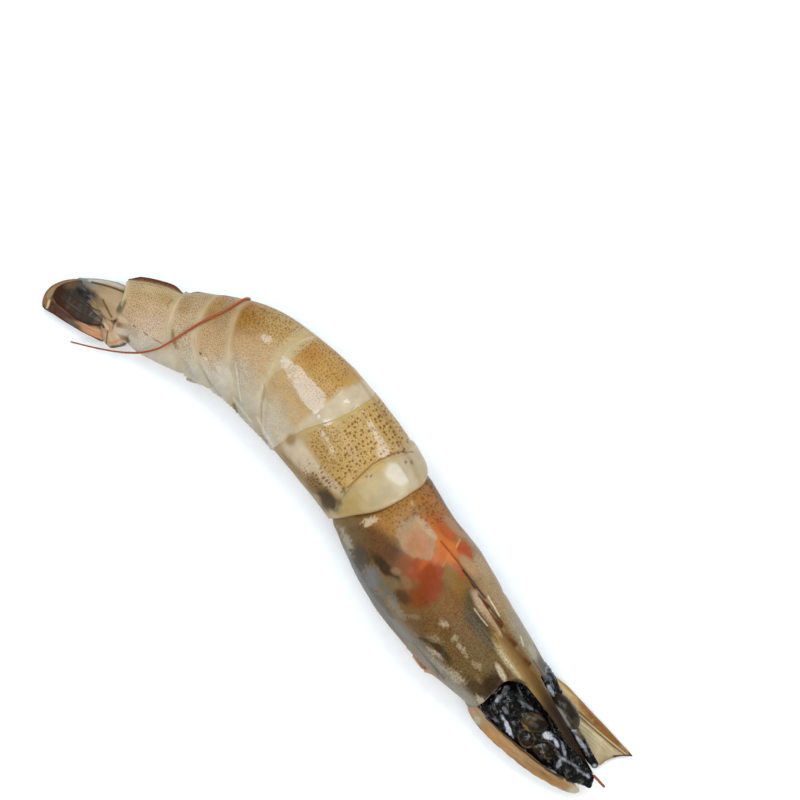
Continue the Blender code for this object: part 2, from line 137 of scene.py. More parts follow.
half = BOARD / 2
board_mesh = bpy.data.meshes.new("board")
board_mesh.from_pydata([(-half, -half, 0), (half, -half, 0), (half, half, 0), (-half, half, 0)], [],
                       [(0, 1, 2, 3)])
board_mesh.materials.append(painted_board())
board = bpy.data.objects.new("board", board_mesh)
bpy.context.scene.collection.objects.link(board)

room = bpy.data.worlds.new("white_room")
room.use_nodes = True
feed(room.node_tree.nodes["Background"], {"Color": (1.0, 1.0, 1.0, 1.0), "Strength": ROOM_LIGHT})
bpy.context.scene.world = room
softbox("side_softbox", (-0.200, 0.010), (0.130, 0.44), 5.6, (0.78, 0.98, 1.20), 7.0)
softbox("strip_softbox", (-0.205, -0.46), (0.045, 0.34), 5.0)
softbox("back_softbox", (0.040, 0.44), (0.20, 0.62), 4.4, COOL_WHITE)
softbox("small_lamp", (-0.355, 0.258), (0.13, 0.22), 5.0, COOL_WHITE)
softbox("corner_lamp", (-0.150, 0.370), (0.10, 0.24), 5.5, COOL_WHITE)
softbox("fill_softbox", (0.26, -0.22), (0.40, 0.50), 2.6, (1.02, 1.0, 0.97))

camera_data = bpy.data.cameras.new("camera")
camera_data.lens = LENS
camera_data.sensor_width = SENSOR
camera_data.clip_end = 20
camera = bpy.data.objects.new("camera", camera_data)
bpy.context.scene.collection.objects.link(camera)
right = np.array(FRAME_RIGHT) / np.linalg.norm(FRAME_RIGHT)
up = np.array([-right[1], right[0], 0.0])
distance = FRAME_WIDTH * LENS / SENSOR
spot = (np.array(FRAME_CENTRE) + [0, 0, distance]) * MM
turned = np.eye(4)
turned[:3, 0], turned[:3, 1], turned[:3, 2], turned[:3, 3] = right, up, (0, 0, 1), spot
camera.matrix_world = turned.T.tolist()
bpy.context.scene.camera = camera
bpy.context.scene.view_settings.view_transform = "Standard"


# ---------------------------------------------------------------- carapace
# The hard shield over head and thorax: one piece of thin, see-through chitin with the liver and gills showing
# through. Its rear edge tucks under the first ring of the abdomen; in front it opens where the head sits.

AROUND = 260                 # columns round the body, closer together along the back
FLAT = 0.25                  # how deep the soft body is pressed flat where it lies
CENTRE_Y = -12.85            # moves the body line so that the whole prawn is centred across
PLEURON_SQUARENESS = 0.84    # below 1 the lower half of a section has fuller sides
TONGUE, LIP = 2.8, 3.4       # how far a shell slides under its neighbour, and how deep the neighbour's lip is

# along, across, half height, half width, roll of the back towards +Y (degrees)
BODY = np.array([
    (-80, 1.9, 4, 2, 90), (-70, 5.6, 5.8, 3.2, 89), (-62.7, 9.6, 7.3, 4.7, 88), (-52, 13.8, 8.9, 5.8, 86),
    (-46, 16.7, 10, 6.9, 82), (-38.5, 19.8, 11.1, 8.2, 77), (-26.4, 20.8, 12, 9.4, 69),
    (-12, 19.5, 12.5, 10, 58), (3, 15.9, 12, 10.4, 44), (15, 11.3, 12.9, 11.9, 34), (25, 8.7, 13, 12, 32),
    (35, 6.4, 12, 10.9, 32), (45, 4.7, 10.4, 9.4, 32), (55, 3.1, 8.4, 7.7, 32), (65, 1.7, 6.2, 5.8, 32),
    (78, 0.2, 4, 3.6, 32),
])
EDGE_TURNS = np.array([0.0, 55.0, 95.0, 130.0, 180.0])
CARAPACE_REAR = np.array([4.7, 4.75, 2.5, 0.9, 2.6])
HOOD_TURNS = np.array([0.0, 12.0, 20.0, 30.0, 52.0, 80.0, 100.0, 135.0, 180.0])
HOOD = np.array([53.0, 51.9, 49.9, 48.0, 47.7, 48.2, 48.0, 46.5, 43.0])


def through(x, xs, ys):
    """Smooth curve through the points (xs, ys): cubic pieces whose slopes are the points' mean slopes."""
    x = np.asarray(x, float)
    slope = np.gradient(ys, xs)
    i = np.clip(np.searchsorted(xs, x) - 1, 0, len(xs) - 2)
    step = xs[i + 1] - xs[i]
    t = (x - xs[i]) / step
    return ((2 * t**3 - 3 * t**2 + 1) * ys[i] + (t**3 - 2 * t**2 + t) * step * slope[i]
            + (3 * t**2 - 2 * t**3) * ys[i + 1] + (t**3 - t**2) * step * slope[i + 1])


def body(x, column):
    """One of the body line's measures at each distance along it."""
    return through(x, BODY[:, 0], BODY[:, column])


def section(turn, height, width):
    """Ellipse about the body line, fuller at the flanks below and hollowed along the belly for the limbs."""
    s, c = np.sin(turn), np.cos(turn)
    power = np.where(c < 0, PLEURON_SQUARENESS, 1.0)
    right = width * np.sign(s) * np.abs(s)**power
    back = height * np.sign(c) * np.abs(c)**power
    return right, back * np.where(c < 0, 1 - 0.20 * np.exp(-(s / 0.38)**2), 1.0)


def rest_height(x):
    """Height of the body line at which the rolled section just presses its lowest point flat."""
    x, where = np.unique(np.round(x, 4), return_inverse=True)
    turn = np.linspace(0, 2 * np.pi, 97)
    right, back = section(turn, body(x, 2)[:, None], body(x, 3)[:, None])
    roll = np.radians(body(x, 4))[:, None]
    lowest = (back * np.cos(roll) + right * np.sin(roll)).min(-1)
    return (-lowest - FLAT)[where]


def place(x, right, back):
    """Point in space, in millimetres, from along the body line, to the right and towards the back."""
    x, right, back = np.broadcast_arrays(*(np.asarray(v, float) for v in (x, right, back)))
    heading = np.arctan2(body(x + 0.05, 1) - body(x - 0.05, 1), 0.1)
    roll = np.radians(body(x, 4))
    across = back * np.sin(roll) - right * np.cos(roll)
    up = back * np.cos(roll) + right * np.sin(roll)
    return np.stack([x - np.sin(heading) * across, body(x, 1) + np.cos(heading) * across + CENTRE_Y,
                     rest_height(x).reshape(x.shape) + up], -1)


def skin(x, turn, grow=0.0):
    """Point on the body's surface, grown outwards by so many millimetres."""
    right, back = section(turn, body(x, 2) + grow, body(x, 3) + grow)
    return place(x, right, back)


def seen(points):
    """Plan places, in millimetres, where the camera sees points: it spreads what is higher a little."""
    spread = distance / (distance + FRAME_CENTRE[2] - points[..., 2])
    return (FRAME_CENTRE[0] + (points[..., 0] - FRAME_CENTRE[0]) * spread,
            FRAME_CENTRE[1] + (points[..., 1] - FRAME_CENTRE[1]) * spread - CENTRE_Y)


def under_view(points):
    """The reverse: rows that begin with places as they are seen in plan, and their heights, moved there."""
    points = np.array(points, float)
    spread = (distance + FRAME_CENTRE[2] - points[..., 2]) / distance
    points[..., 0] = FRAME_CENTRE[0] + (points[..., 0] - FRAME_CENTRE[0]) * spread
    points[..., 1] = FRAME_CENTRE[1] + (points[..., 1] + CENTRE_Y - FRAME_CENTRE[1]) * spread
    return points


def edge(turn, places, turns=EDGE_TURNS):
    """Where a shell edge crosses each turn, from its places at some turns in degrees, alike on both sides."""
    away = np.degrees(np.abs((turn + np.pi) % (2 * np.pi) - np.pi))
    return through(away, turns, places)


def shield_rear(turn):
    """Where the carapace ends and the first ring begins at each turn: further back on the left side."""
    away = np.degrees(turn)
    return edge(turn, CARAPACE_REAR) - 3.2 * smooth(2, -52, away) * smooth(-150, -110, away)


def swell(points, size, seed):
    """Soft random swell over points in millimetres, mostly within -1 to 1: a sum of plane waves of about that
    length, in directions drawn from the seed, each pushed out of line by a slower wave across it."""
    draw = np.random.default_rng(seed)
    total = np.zeros(points.shape[:-1])
    for _ in range(8):
        along, across = draw.normal(size=(2, 3))
        along, across = along / np.linalg.norm(along), across / np.linalg.norm(across)
        wave = 2 * np.pi / (size * draw.uniform(0.7, 1.6))
        bend = 1.5 * np.sin(points @ across * wave * 0.45 + draw.uniform(0, 6.3))
        total += np.sin(points @ along * wave + bend + draw.uniform(0, 6.3))
    return total / 3.2


def smooth(low, high, x):
    """Share from 0 at low to 1 at high, easing in and out."""
    t = np.clip((x - low) / (high - low), 0, 1)
    return t * t * (3 - 2 * t)


def girth(x):
    """Mean radius of the body, which turns an angle round it into millimetres of skin."""
    return (body(x, 2) + body(x, 3)) / 2


def plain(color, points):
    """The same colour at every point."""
    return np.broadcast_to(linear(color), points.shape)


def layer(ground, color, share):
    """Colours, or other values, with one more laid over them, as strongly as its share at each point."""
    goal = linear(color) if isinstance(color, str) else np.asarray(color, float)
    return ground + (goal - ground) * share[..., None]


def near_line(across, up, knots, width):
    """Share from 1 on the line through the knots down to 0 at its half width away from it."""
    far = np.full(across.shape, 1e9)
    for start, end in zip(knots[:-1], knots[1:]):
        run = np.subtract(end, start)
        t = np.clip(((across - start[0]) * run[0] + (up - start[1]) * run[1]) / (run @ run), 0, 1)
        far = np.minimum(far, np.hypot(across - start[0] - t * run[0], up - start[1] - t * run[1]))
    return 1 - smooth(0.3, 1.0, far / width)


def paint(ground, along, turn, rows, wobble=0.0, curved=False):
    """Colours, or other values, with soft ovals and lines laid over them, row by row.

    An oval's row is its middle, its half length and half breadth, its slant in degrees, how soft its edge
    is, its colour and how strongly it covers; the wobble moves its edge. A line's row is its points, its
    half width, its colour and its cover. All is in millimetres in plan; on the curved body the second
    measure of a place is how far it is turned round the body, in degrees.
    """
    around = turn * girth(along) if curved else turn
    for *shape, color, cover in rows:
        if len(shape) == 2:
            points, width = shape
            knots = [(x, np.radians(y) * float(girth(x))) if curved else (x, y) for x, y in points]
            share = near_line(along, around, knots, width)
        else:
            x, y, length, breadth, slant, soft = shape
            dx, dy = along - x, (turn - np.radians(y)) * girth(x) if curved else turn - y
            c, s = np.cos(np.radians(slant)), np.sin(np.radians(slant))
            far = np.hypot((dx * c + dy * s) / length, (dy * c - dx * s) / breadth) + wobble
            share = 1 - smooth(1 - soft, 1 + soft, far)
        ground = layer(ground, color, cover * share)
    return ground


def facing_up(along, turn, low, high):
    """Share of the skin that belongs to the side that shows: 0 where its slope is below low, 1 above high."""
    return smooth(low, high, np.cos(turn - np.radians(body(along, 4))))


def stands_for(piece, slot, *nodes):
    """Fixes a piece to the body and hides the plain solids that it stands for; the slot is not used."""
    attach(piece, "root")
    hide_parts(*nodes)


def skin_piece(name, rings, finish, pigment, slot, node, **fields):
    """Makes a piece: a closed skin over rings of points in millimetres, with a point closing each end.

    Faces are the squares between neighbouring rings and a fan at each end, turned so that the skin's volume
    comes out positive. The pigment is a linear colour for each point and fields are further values for each.
    """
    count, sides = rings.shape[:2]
    ends = np.array([rings[0].mean(0), rings[-1].mean(0)])
    points = np.vstack([rings.reshape(-1, 3), ends]) * MM
    points[:, 2] = np.maximum(points[:, 2], 0.0)
    i, j = np.meshgrid(np.arange(count - 1), np.arange(sides), indexing="ij")
    k = (j + 1) % sides
    quads = np.stack([i * sides + j, i * sides + k, (i + 1) * sides + k,
                      (i + 1) * sides + j], -1).reshape(-1, 4)
    j = np.arange(sides)
    k = (j + 1) % sides
    last = (count - 1) * sides
    fans = np.vstack([np.stack([k, j, np.full(sides, count * sides)], -1),
                      np.stack([last + j, last + k, np.full(sides, count * sides + 1)], -1)])
    corner = points[quads]
    volume = (corner[:, 0] * np.cross(corner[:, 1], corner[:, 2])).sum()
    volume += (corner[:, 0] * np.cross(corner[:, 2], corner[:, 3])).sum()
    if volume < 0:
        quads, fans = quads[:, ::-1], fans[:, ::-1]
    mesh = bpy.data.meshes.new(name)
    mesh.from_pydata(points.tolist(), [], quads.tolist() + fans.tolist())
    for field, values in {**fields, "pigment": pigment}.items():
        flat = values.reshape(-1, values.shape[-1])
        flat = np.vstack([flat, flat[:1], flat[-1:]])
        if field == "pigment":
            flat = np.hstack([np.clip(flat, 0, 1), np.ones((len(flat), 1))])
            mesh.attributes.new(field, "FLOAT_COLOR", "POINT").data.foreach_set("color", flat.ravel())
        else:
            mesh.attributes.new(field, "FLOAT_VECTOR", "POINT").data.foreach_set("vector", flat.ravel())
    mesh.materials.append(finish)
    mesh.shade_smooth()
    made = bpy.data.objects.new(name, mesh)
    bpy.context.scene.collection.objects.link(made)
    stands_for(made, slot, node)


def mottled(tree, tint, pattern, levels):
    """A tint made darker and lighter by a pattern; levels set how its range maps to how light the tint is."""
    level = add_node(tree, "ShaderNodeMapRange", {"Value": pattern, **levels})
    return add_node(tree, "ShaderNodeVectorMath", {0: tint, "Scale": level}, operation="SCALE")


def wet_chitin(name, film, film_roughness, clear):
    """Wet raw prawn shell: clear chitin over pale flesh, cast by the animal and never polished.

    The flesh glows a little through it, the water on it gives small sharp lights, and round pigment cells
    from 0.2 to 0.6 mm across freckle it in three sizes, as dense as the freckle field says. The film is how
    much water stands on it, less the share by which the mantle field says it has dried; clear is the share
    of red, green and blue that the slightly yellow chitin lets through.
    """
    finish, tree, shader, place_in = new_finish(name)
    tint = add_node(tree, "ShaderNodeAttribute", attribute_name="pigment")
    sheet = add_node(tree, "ShaderNodeAttribute", attribute_name="mantle_mm").outputs["Vector"]
    amount = add_node(tree, "ShaderNodeAttribute", attribute_name="freckle").outputs["Vector"]
    amounts = add_node(tree, "ShaderNodeSeparateXYZ", {"Vector": amount})
    cover = 0.0
    for axis, spacing, radius in (("X", 1.00, 0.28), ("Y", 0.66, 0.18), ("Z", 0.36, 0.105)):     # millimetres
        cells = add_node(tree, "ShaderNodeTexVoronoi",
                         {"Vector": sheet, "Scale": 1 / spacing, "Randomness": 0.78}, voronoi_dimensions="2D")
        chance = add_node(tree, "ShaderNodeSeparateColor", {"Color": cells.outputs["Color"]}).outputs["Red"]
        reach = add_node(tree, "ShaderNodeMath",
                         {0: chance, 1: 0.7 * radius / spacing, 2: 0.85 * radius / spacing},
                         operation="MULTIPLY_ADD")
        core = add_node(tree, "ShaderNodeMath", {0: reach, 1: 0.45}, operation="MULTIPLY")
        spot = add_node(tree, "ShaderNodeMapRange", {"Value": cells.outputs["Distance"], "From Min": reach,
                                                     "From Max": core}, interpolation_type="SMOOTHSTEP")
        share = add_node(tree, "ShaderNodeMath", {0: spot, 1: amounts.outputs[axis]},
                         operation="MULTIPLY")
        cover = add_node(tree, "ShaderNodeMath", {0: share, 1: cover}, operation="MAXIMUM")
    freckled = add_node(tree, "ShaderNodeMix", {"Factor": cover, "A": tint, "B": (0.46, 0.29, 0.13, 1)},
                        data_type="RGBA", blend_type="MULTIPLY").outputs["Result"]
    mottle = add_node(tree, "ShaderNodeTexNoise", {"Vector": place_in, "Scale": 420.0, "Detail": 4.0,
                                                   "Roughness": 0.6})
    uneven = mottled(tree, freckled, mottle,
                     {"From Min": 0.3, "From Max": 0.7, "To Min": 0.88, "To Max": 1.06})
    colour = add_node(tree, "ShaderNodeVectorMath", {0: uneven, 1: clear}, operation="MULTIPLY")
    grain = add_node(tree, "ShaderNodeTexNoise", {"Vector": place_in, "Scale": 2600.0, "Detail": 2.0})
    height = add_node(tree, "ShaderNodeMath", {0: cover, 1: -0.5, 2: grain}, operation="MULTIPLY_ADD")
    bump = add_node(tree, "ShaderNodeBump", {"Height": height, "Strength": 0.35, "Distance": 0.00005})
    ripples = add_node(tree, "ShaderNodeBump", {"Height": height, "Strength": 0.2, "Distance": 0.00004})
    rough = add_node(tree, "ShaderNodeMapRange", {"Value": grain, "To Min": 0.34, "To Max": 0.50})
    dried = add_node(tree, "ShaderNodeSeparateXYZ", {"Vector": sheet}).outputs["Z"]
    water = add_node(tree, "ShaderNodeMath", {0: dried, 1: -film, 2: film}, operation="MULTIPLY_ADD")
    feed(shader, {"Base Color": colour, "Normal": bump, "Coat Normal": ripples, "Roughness": rough,
                  "Specular IOR Level": 0.06, "Coat Weight": water, "Coat Roughness": film_roughness,
                  "Subsurface Weight": 0.18, "Subsurface Radius": (1, 0.6, 0.35), "Subsurface Scale": 0.0012})
    return finish


def shell_grid(rows, columns=AROUND):
    """Turns round the body for each ring, closer together along the back: turn = t - 0.45 sin t."""
    t = np.arange(columns) * 2 * np.pi / columns
    t = t - 0.45 * np.sin(t)
    return np.broadcast_to(np.where(t > np.pi, t - 2 * np.pi, t), (rows, columns))


def mantle_sheet(along, turn, dried):
    """The skin laid out flat for its freckles: along, and round it in millimetres, which run a little closer
    where the skin turns away below the back and the flank; and how far the water film has dried."""
    round_it = turn - np.radians(body(along, 4))
    return np.stack([along, girth(along) * (0.675 * round_it + 0.1625 * np.sin(2 * round_it)), dried], -1)


CARAPACE_ROWS = 190
# share of the way from rear edge to hood, then shift and growth: tongue, open shield, rounded rim, inner wall
shield_rows = np.vstack([
    [(0.0, -TONGUE, -1.6), (0.0, -TONGUE + 0.1, -1.2), (0.0, -1.6, -0.9), (0.0, -0.6, -0.65)],
    [(share, 0.0, 0.0) for share in np.linspace(0, 1, CARAPACE_ROWS)],
    [(1.0, 0.08, -0.06), (1.0, 0.10, -0.2), (1.0, 0.0, -0.35), (1.0, -0.6, -0.45), (1.0, -4.0, -0.8)],
])
turn = shell_grid(len(shield_rows))
away = np.degrees(np.abs(turn))
share, shift, grow = (shield_rows[:, k, None] for k in range(3))
rear, front = shield_rear(turn), edge(turn, HOOD, HOOD_TURNS)
front = front + 3.4 * smooth(-12, -26, np.degrees(turn)) * smooth(-95, -70, np.degrees(turn))
along = rear + share * (front - rear) + shift
arc = turn * girth(along)
flat_points = skin(along, turn)
open_part = (shift == 0) & (share < 1.01)
# the shield rises from its rear edge, has a crest that grows into the beak, and a ridge on each side of it
relief = -0.55 * (1 - smooth(0.0, 2.4, along - rear))
relief += 0.5 * np.exp(-(arc / 0.9)**2) * smooth(16, 34, along)
ridge_at = through(along, np.array([26.0, 36.0, 45.0, 54.0]), np.array([4.2, 3.3, 2.9, 2.4]))
relief += 0.45 * np.exp(-((np.abs(arc) - ridge_at) / 0.5)**2) * smooth(29, 38, along)
relief -= 0.35 * np.exp(-((np.abs(arc) - 0.55 * ridge_at) / 0.6)**2) * smooth(27, 36, along)
groove_at = 33 + 0.10 * (away - 55)
relief -= 0.5 * np.exp(-((along - groove_at) / 0.9)**2) * smooth(38, 60, away) * smooth(112, 96, away)
relief -= 0.40 * smooth(80, 105, away) * smooth(6, 14, along)
relief -= 0.85 * smooth(-22, -62, np.degrees(turn)) * smooth(24, 10, along)
relief += 0.06 * swell(flat_points, 7.0, 11) + 0.012 * swell(flat_points, 2.2, 12)
relief += 0.12 * np.exp(-((front - along) / 0.35)**2)
relief = relief * open_part - 1.1 * smooth(140, 144, away) * smooth(0.0, 1.0, share * 20)
shield = skin(along, turn, grow + relief)

wobble = 0.07 * swell(flat_points, 3.0, 21) + 0.04 * swell(flat_points, 1.1, 22)
ragged = 0.35 * swell(flat_points, 0.8, 23) + 0.25 * swell(flat_points, 2.2, 24)
ground = plain("80643e", flat_points)
# ovals on both sides: along, turn, half length, half breadth, slant, softness, colour, cover
tint = paint(ground, along, np.abs(turn), [
    (7, 20, 4.2, 13, 0, 0.35, "a47840", 1), (14, 20, 7.5, 9, 0, 0.5, "a9693a", 0.9),
    (33, 45, 13, 9, 0, 0.5, "705634", 1), (36, 95, 12, 5, 0, 0.5, "776d5c", 1),
    (12.5, 60, 6.5, 4, 0, 0.5, "684a30", 1), (13.5, 74, 7, 2.2, 0, 0.5, "44301f", 1),
    (22.5, 38, 3, 5, 0, 0.4, "8b3712", 1), (46.6, 55, 3, 4.2, 0, 0.5, "382817", 0.95),
    (18, 125, 30, 6, 0, 0.5, "6a655d", 1), (20, 170, 40, 9, 0, 0.4, "8b7f70", 1),
], wobble, curved=True)
# then over the side that shows, in plan: the pale heart, the orange liver, the grey gills and the dark gut,
# and near the front a painted highlight, a painted glint and painted shade
x_seen, y_seen = seen(shield)
plan = paint(ground, x_seen, y_seen, [
    (33, 6, 14, 9, -8, 0.4, "735733", 1), (41.5, 3, 6, 4.5, 0, 0.6, "6d5b38", 0.8),
    (6.6, 16.5, 3.8, 11, 6, 0.3, "a2763f", 1), (14.5, 21.2, 7.5, 3.4, -13, 0.45, "9e6a39", 1),
    (36, 17.2, 12, 3.6, -17, 0.4, "a08766", 0.98), (46, 13.6, 6.5, 2.4, -22, 0.5, "989080", 0.95),
    (18, 17.6, 6, 1.7, -8, 0.4, "b96a37", 0.95), (20.6, 16.5, 3.4, 1.8, -14, 0.4, "c06b34", 1),
    (20.3, 14, 1.6, 2.4, 10, 0.5, "b8602c", 0.9), (18, 19.5, 2.8, 1, -3, 0.3, "aa5226", 0.95),
    (23.5, 19.1, 2.4, 1.4, -20, 0.25, "a74a1e", 1), (15, 20.3, 2.2, 0.7, -8, 0.5, "a35a2c", 0.7),
    (18.5, 21.4, 3, 0.85, -4, 0.22, "a27a5b", 1), (26.3, 17.2, 2.8, 1.05, -8, 0.5, "b08a6a", 0.95),
    (28.4, 18.9, 2.7, 0.95, -25, 0.5, "ac9074", 0.85), (17.6, 9.8, 3.2, 3, -20, 0.5, "91411e", 0.95),
    (19.2, 11.6, 1.3, 1.8, 0, 0.6, "b25626", 0.8), (14.2, 14.4, 4.9, 3.75, -14, 0.07, "a68463", 0.98),
    (15.6, 13.9, 3, 2.6, 0, 0.75, "ac7353", 0.85), (14.3, 17.3, 3.2, 0.75, -6, 0.35, "b4967a", 0.8),
    (10.8, 15.2, 1.3, 2.2, 0, 0.6, "9a7f5c", 0.6), (9.5, 8.2, 5.6, 2.5, -8, 0.45, "68452c", 0.97),
    (4.8, 6.6, 3.4, 2, -10, 0.5, "68502f", 0.9), (13.5, 8.3, 3, 1.8, -10, 0.5, "5f3f29", 0.85),
    (15.6, 8.6, 1.8, 1.6, -20, 0.6, "85502f", 0.8), (28.5, 8.5, 3.4, 3.8, 0, 0.6, "7c5528", 0.85),
    (26.7, 12.9, 3.8, 1.6, -12, 0.5, "856230", 0.9), (21.4, 10.6, 2.2, 2.9, -14, 0.2, "8a3a10", 1),
    (23.4, 8, 2.6, 3, 10, 0.35, "82350d", 1), (22.6, 5.2, 2.6, 2.4, 0, 0.6, "7e3c16", 0.85),
    (25.4, 15, 2.4, 0.5, -12, 0.5, "a54f2a", 0.85), (31.8, 12, 2.5, 1.4, -25, 0.6, "5a4e3a", 0.9),
    (34.9, 9.4, 3.6, 1.6, -14, 0.6, "564c3d", 0.92), (38.6, 8.3, 3.4, 1.1, -12, 0.6, "5f5545", 0.85),
    (33.6, 12.8, 3.2, 1, -17, 0.5, "b59c86", 0.95), (37.6, 11.8, 3.2, 0.7, -14, 0.6, "ab9178", 0.85),
    (42.5, 10.6, 3.6, 0.7, -12, 0.5, "a38c6c", 0.8), (44.5, 9, 5, 0.9, -10, 0.5, "957940", 0.9),
    # the cream oval at (46, 7.9) is a painted highlight along the ridge
    (47, 7.7, 5.5, 0.7, -10, 0.5, "b7a177", 0.95), (46, 7.9, 4.2, 1.1, -10, 0.5, "c6bb9e", 0.95),
    (42.8, 9.5, 2, 0.3, -8, 0.5, "6c5528", 0.8), (13.4, 5.3, 4.4, 1.15, -4, 0.4, "3f2e1d", 1),
    (8.4, 4, 3, 1.3, -22, 0.6, "453524", 0.9), (20, 3.1, 2, 1.3, -5, 0.45, "523724", 0.95),
    (15.5, 6.2, 1.1, 0.8, 20, 0.4, "8b6c50", 0.9), (18.7, 5.9, 1.5, 0.9, -10, 0.4, "8a664a", 0.85),
    (16.5, 4.2, 1.7, 0.9, 10, 0.4, "7a6550", 0.8), (26, 0.5, 4.5, 1.4, -5, 0.5, "6d5335", 0.8),
    (16, -0.6, 9, 1.1, -16, 0.5, "5d5750", 0.9), (28, -2.1, 6, 1.3, -3, 0.5, "776f63", 0.9),
    (38, -3.3, 9, 1.5, 0, 0.5, "837a6c", 0.95), (46.6, 1.5, 2.5, 3.8, 0, 0.5, "382816", 0.97),
    # the dark oval at (50, 5.4) is painted shade at the hood's edge
    (44, -1.2, 3, 1.5, 0, 0.5, "4c3b22", 0.85), (50, 5.4, 1.8, 0.7, 35, 0.5, "31281d", 0.9),
    (51.4, 12, 2.2, 1, -25, 0.6, "4e4842", 0.9), (48.2, 12.4, 1.7, 0.6, -20, 0.5, "a8a293", 0.8),
    (33.4, -0.1, 3.3, 0.75, -4, 0.4, "48371f", 0.95), (43.5, -4.2, 5, 1, 0, 0.5, "8e877b", 0.9),
    # a painted glint on the shield's front rim
    (46.2, 4.8, 2.2, 0.6, -20, 0.35, "c3b9a2", 0.95),
], wobble)
# ragged flecks, and the lines of the shield's folds and of the crest: points, half width, colour, cover; the
# pale flecks, pale ridge lines and blue-grey streaks among them are painted glints, highlights and
# reflection, and one line is a painted shadow
plan = paint(plan, x_seen, y_seen, [
    # pale flecks over the lower front: painted glints
    (30.3, 4.5, 1, 0.7, 0, 0.4, "b5a88e", 0.8), (34, 3.8, 0.6, 0.9, 0, 0.4, "a99c82", 0.8),
    (37, 3.1, 1.6, 0.5, -8, 0.4, "aea089", 0.8), (31, 1, 1.5, 0.9, 20, 0.4, "94866c", 0.7),
    (32.8, -1.3, 1.8, 0.4, 4, 0.4, "b5ab9a", 0.85), (39.6, -1.9, 2, 0.9, 0, 0.4, "b0a694", 0.85),
    (41.3, 2.6, 1.2, 0.6, 0, 0.4, "aca083", 0.6), (46.8, -2.3, 1, 0.7, 0, 0.4, "c0b7a6", 0.8),
    # the cream-grey streak at (3.9, 4) is a painted sheen, and the grey-blue ovals at (12.8, 2), (17.2, 1.7)
    # and (9.5, 0.6) are painted reflection
    (4.4, 10.3, 0.8, 1.5, -25, 0.3, "ccb89e", 0.95), (3.9, 4, 3.2, 0.7, -24, 0.4, "a09a8c", 0.85),
    (8, 2.8, 2.4, 1.1, -24, 0.2, "40352a", 0.9), (12.8, 2, 2.7, 1.5, -30, 0.14, "6f6e71", 0.97),
    (17.2, 1.7, 3, 1.1, -15, 0.2, "6a665f", 0.9), (9.5, 0.6, 2, 0.5, -20, 0.4, "737477", 0.8),
    (21, 0.4, 2.6, 0.7, -10, 0.4, "8a8274", 0.7), (8.6, 19.3, 0.6, 0.35, 0, 0.4, "cbb083", 0.8),
    (24.5, 1.5, 1.2, 0.5, 30, 0.4, "8f7d62", 0.6), (43.5, 0.6, 1, 0.5, 0, 0.4, "8f8262", 0.6),
    (35.5, -2.6, 2.6, 0.5, -4, 0.4, "9f978a", 0.7),
    ([(7.5, 25), (14, 23.7), (20, 22.2)], 0.9, "7a5630", 0.85), ([(20, 22.4), (30, 20)], 0.6, "8b6a4c", 0.7),
    ([(18.5, 17.2), (24, 16.3), (27, 15.5)], 0.34, "8e3f1c", 0.85),
    ([(26, 15.7), (30, 15), (33.2, 14.4)], 0.38, "4a2010", 0.95),
    ([(32, 13.9), (36, 13.4), (39.5, 12.8)], 0.36, "573020", 0.9),
    # pale cream lines along the ridges (dcd2be, d3cab6, cfc8b8): painted highlights
    ([(33.5, 15), (36, 14.2), (38, 13.5)], 0.24, "dcd2be", 0.95),
    ([(33, 11.2), (35, 10.7), (37.5, 10.3)], 0.22, "d3cab6", 0.9),
    ([(44.3, 13.2), (46, 12.1)], 0.28, "cfc8b8", 0.8), ([(21.2, 20.1), (21.7, 18.4)], 0.25, "d0936a", 0.8),
    ([(21.4, 16.5), (22.2, 13.6)], 0.3, "c4753f", 0.7),
    # painted shadow beside the first ring's swollen band
    ([(6.2, 19), (4.4, 13), (1.6, 9.4)], 0.6, "724820", 0.8),
    ([(28.5, -1), (33, 0.3), (37, -1)], 0.5, "453520", 0.8), ([(28, -2.6), (38, -4)], 0.35, "453c30", 0.8),
    ([(47.5, 14), (50.5, 13), (53, 11.7)], 0.45, "4e473f", 0.8),
    ([(49.5, 11.2), (51.5, 10.7), (53, 10.3)], 0.3, "5d5346", 0.7),
    # blue-grey streaks low along the flank: painted reflection
    ([(3.5, 3.2), (9, 0.5), (15, -1.2), (21, -2.3), (28, -3.2)], 0.7, "717377", 0.7),
    ([(22, -1.8), (28, -2.4), (36, -3.2), (44, -3.9)], 0.6, "85827d", 0.55),
    ([(48.4, 3.6), (47.8, 1), (47.6, -2.6)], 0.3, "a99d88", 0.7),
], ragged)
tint = layer(tint, plan, facing_up(along, turn, -0.15, 0.05))
# how dense the large, medium and fine freckles are
freckle = paint(np.zeros(along.shape + (3,)), along, turn, [
    (38, 40, 13, 11, 0, 0.4, (0.35, 0.7, 0.5), 1), (34, -25, 14, 7, 0, 0.4, (0, 0.35, 0.4), 1),
    (8, 20, 5, 13, 0, 0.4, (0.7, 0.3, 0.5), 1), (8, -30, 5, 9, 0, 0.4, (0.7, 0.3, 0.5), 1),
    (13.4, 26, 4.4, 3.5, 0, 0.2, (0.1, 0, 0.1), 1), (12, 62, 7, 4, 0, 0.5, (0.3, 0.2, 0.2), 0.8),
], wobble, curved=True)
shield_finish = wet_chitin("wet_carapace_chitin", 0.12, 0.2, (0.83, 0.79, 0.67))
skin_piece("carapace_shield", shield, shield_finish, tint, "carapace_shell", "carapace", freckle=freckle,
           mantle_mm=mantle_sheet(along, turn, 0 * turn))


# ---------------------------------------------------------------- rostrum
# The beak: a stiff blade of thick chitin that grows out of the carapace's crest, with a row of sharp teeth
# along its top that point forwards, and a smooth rib along each side.

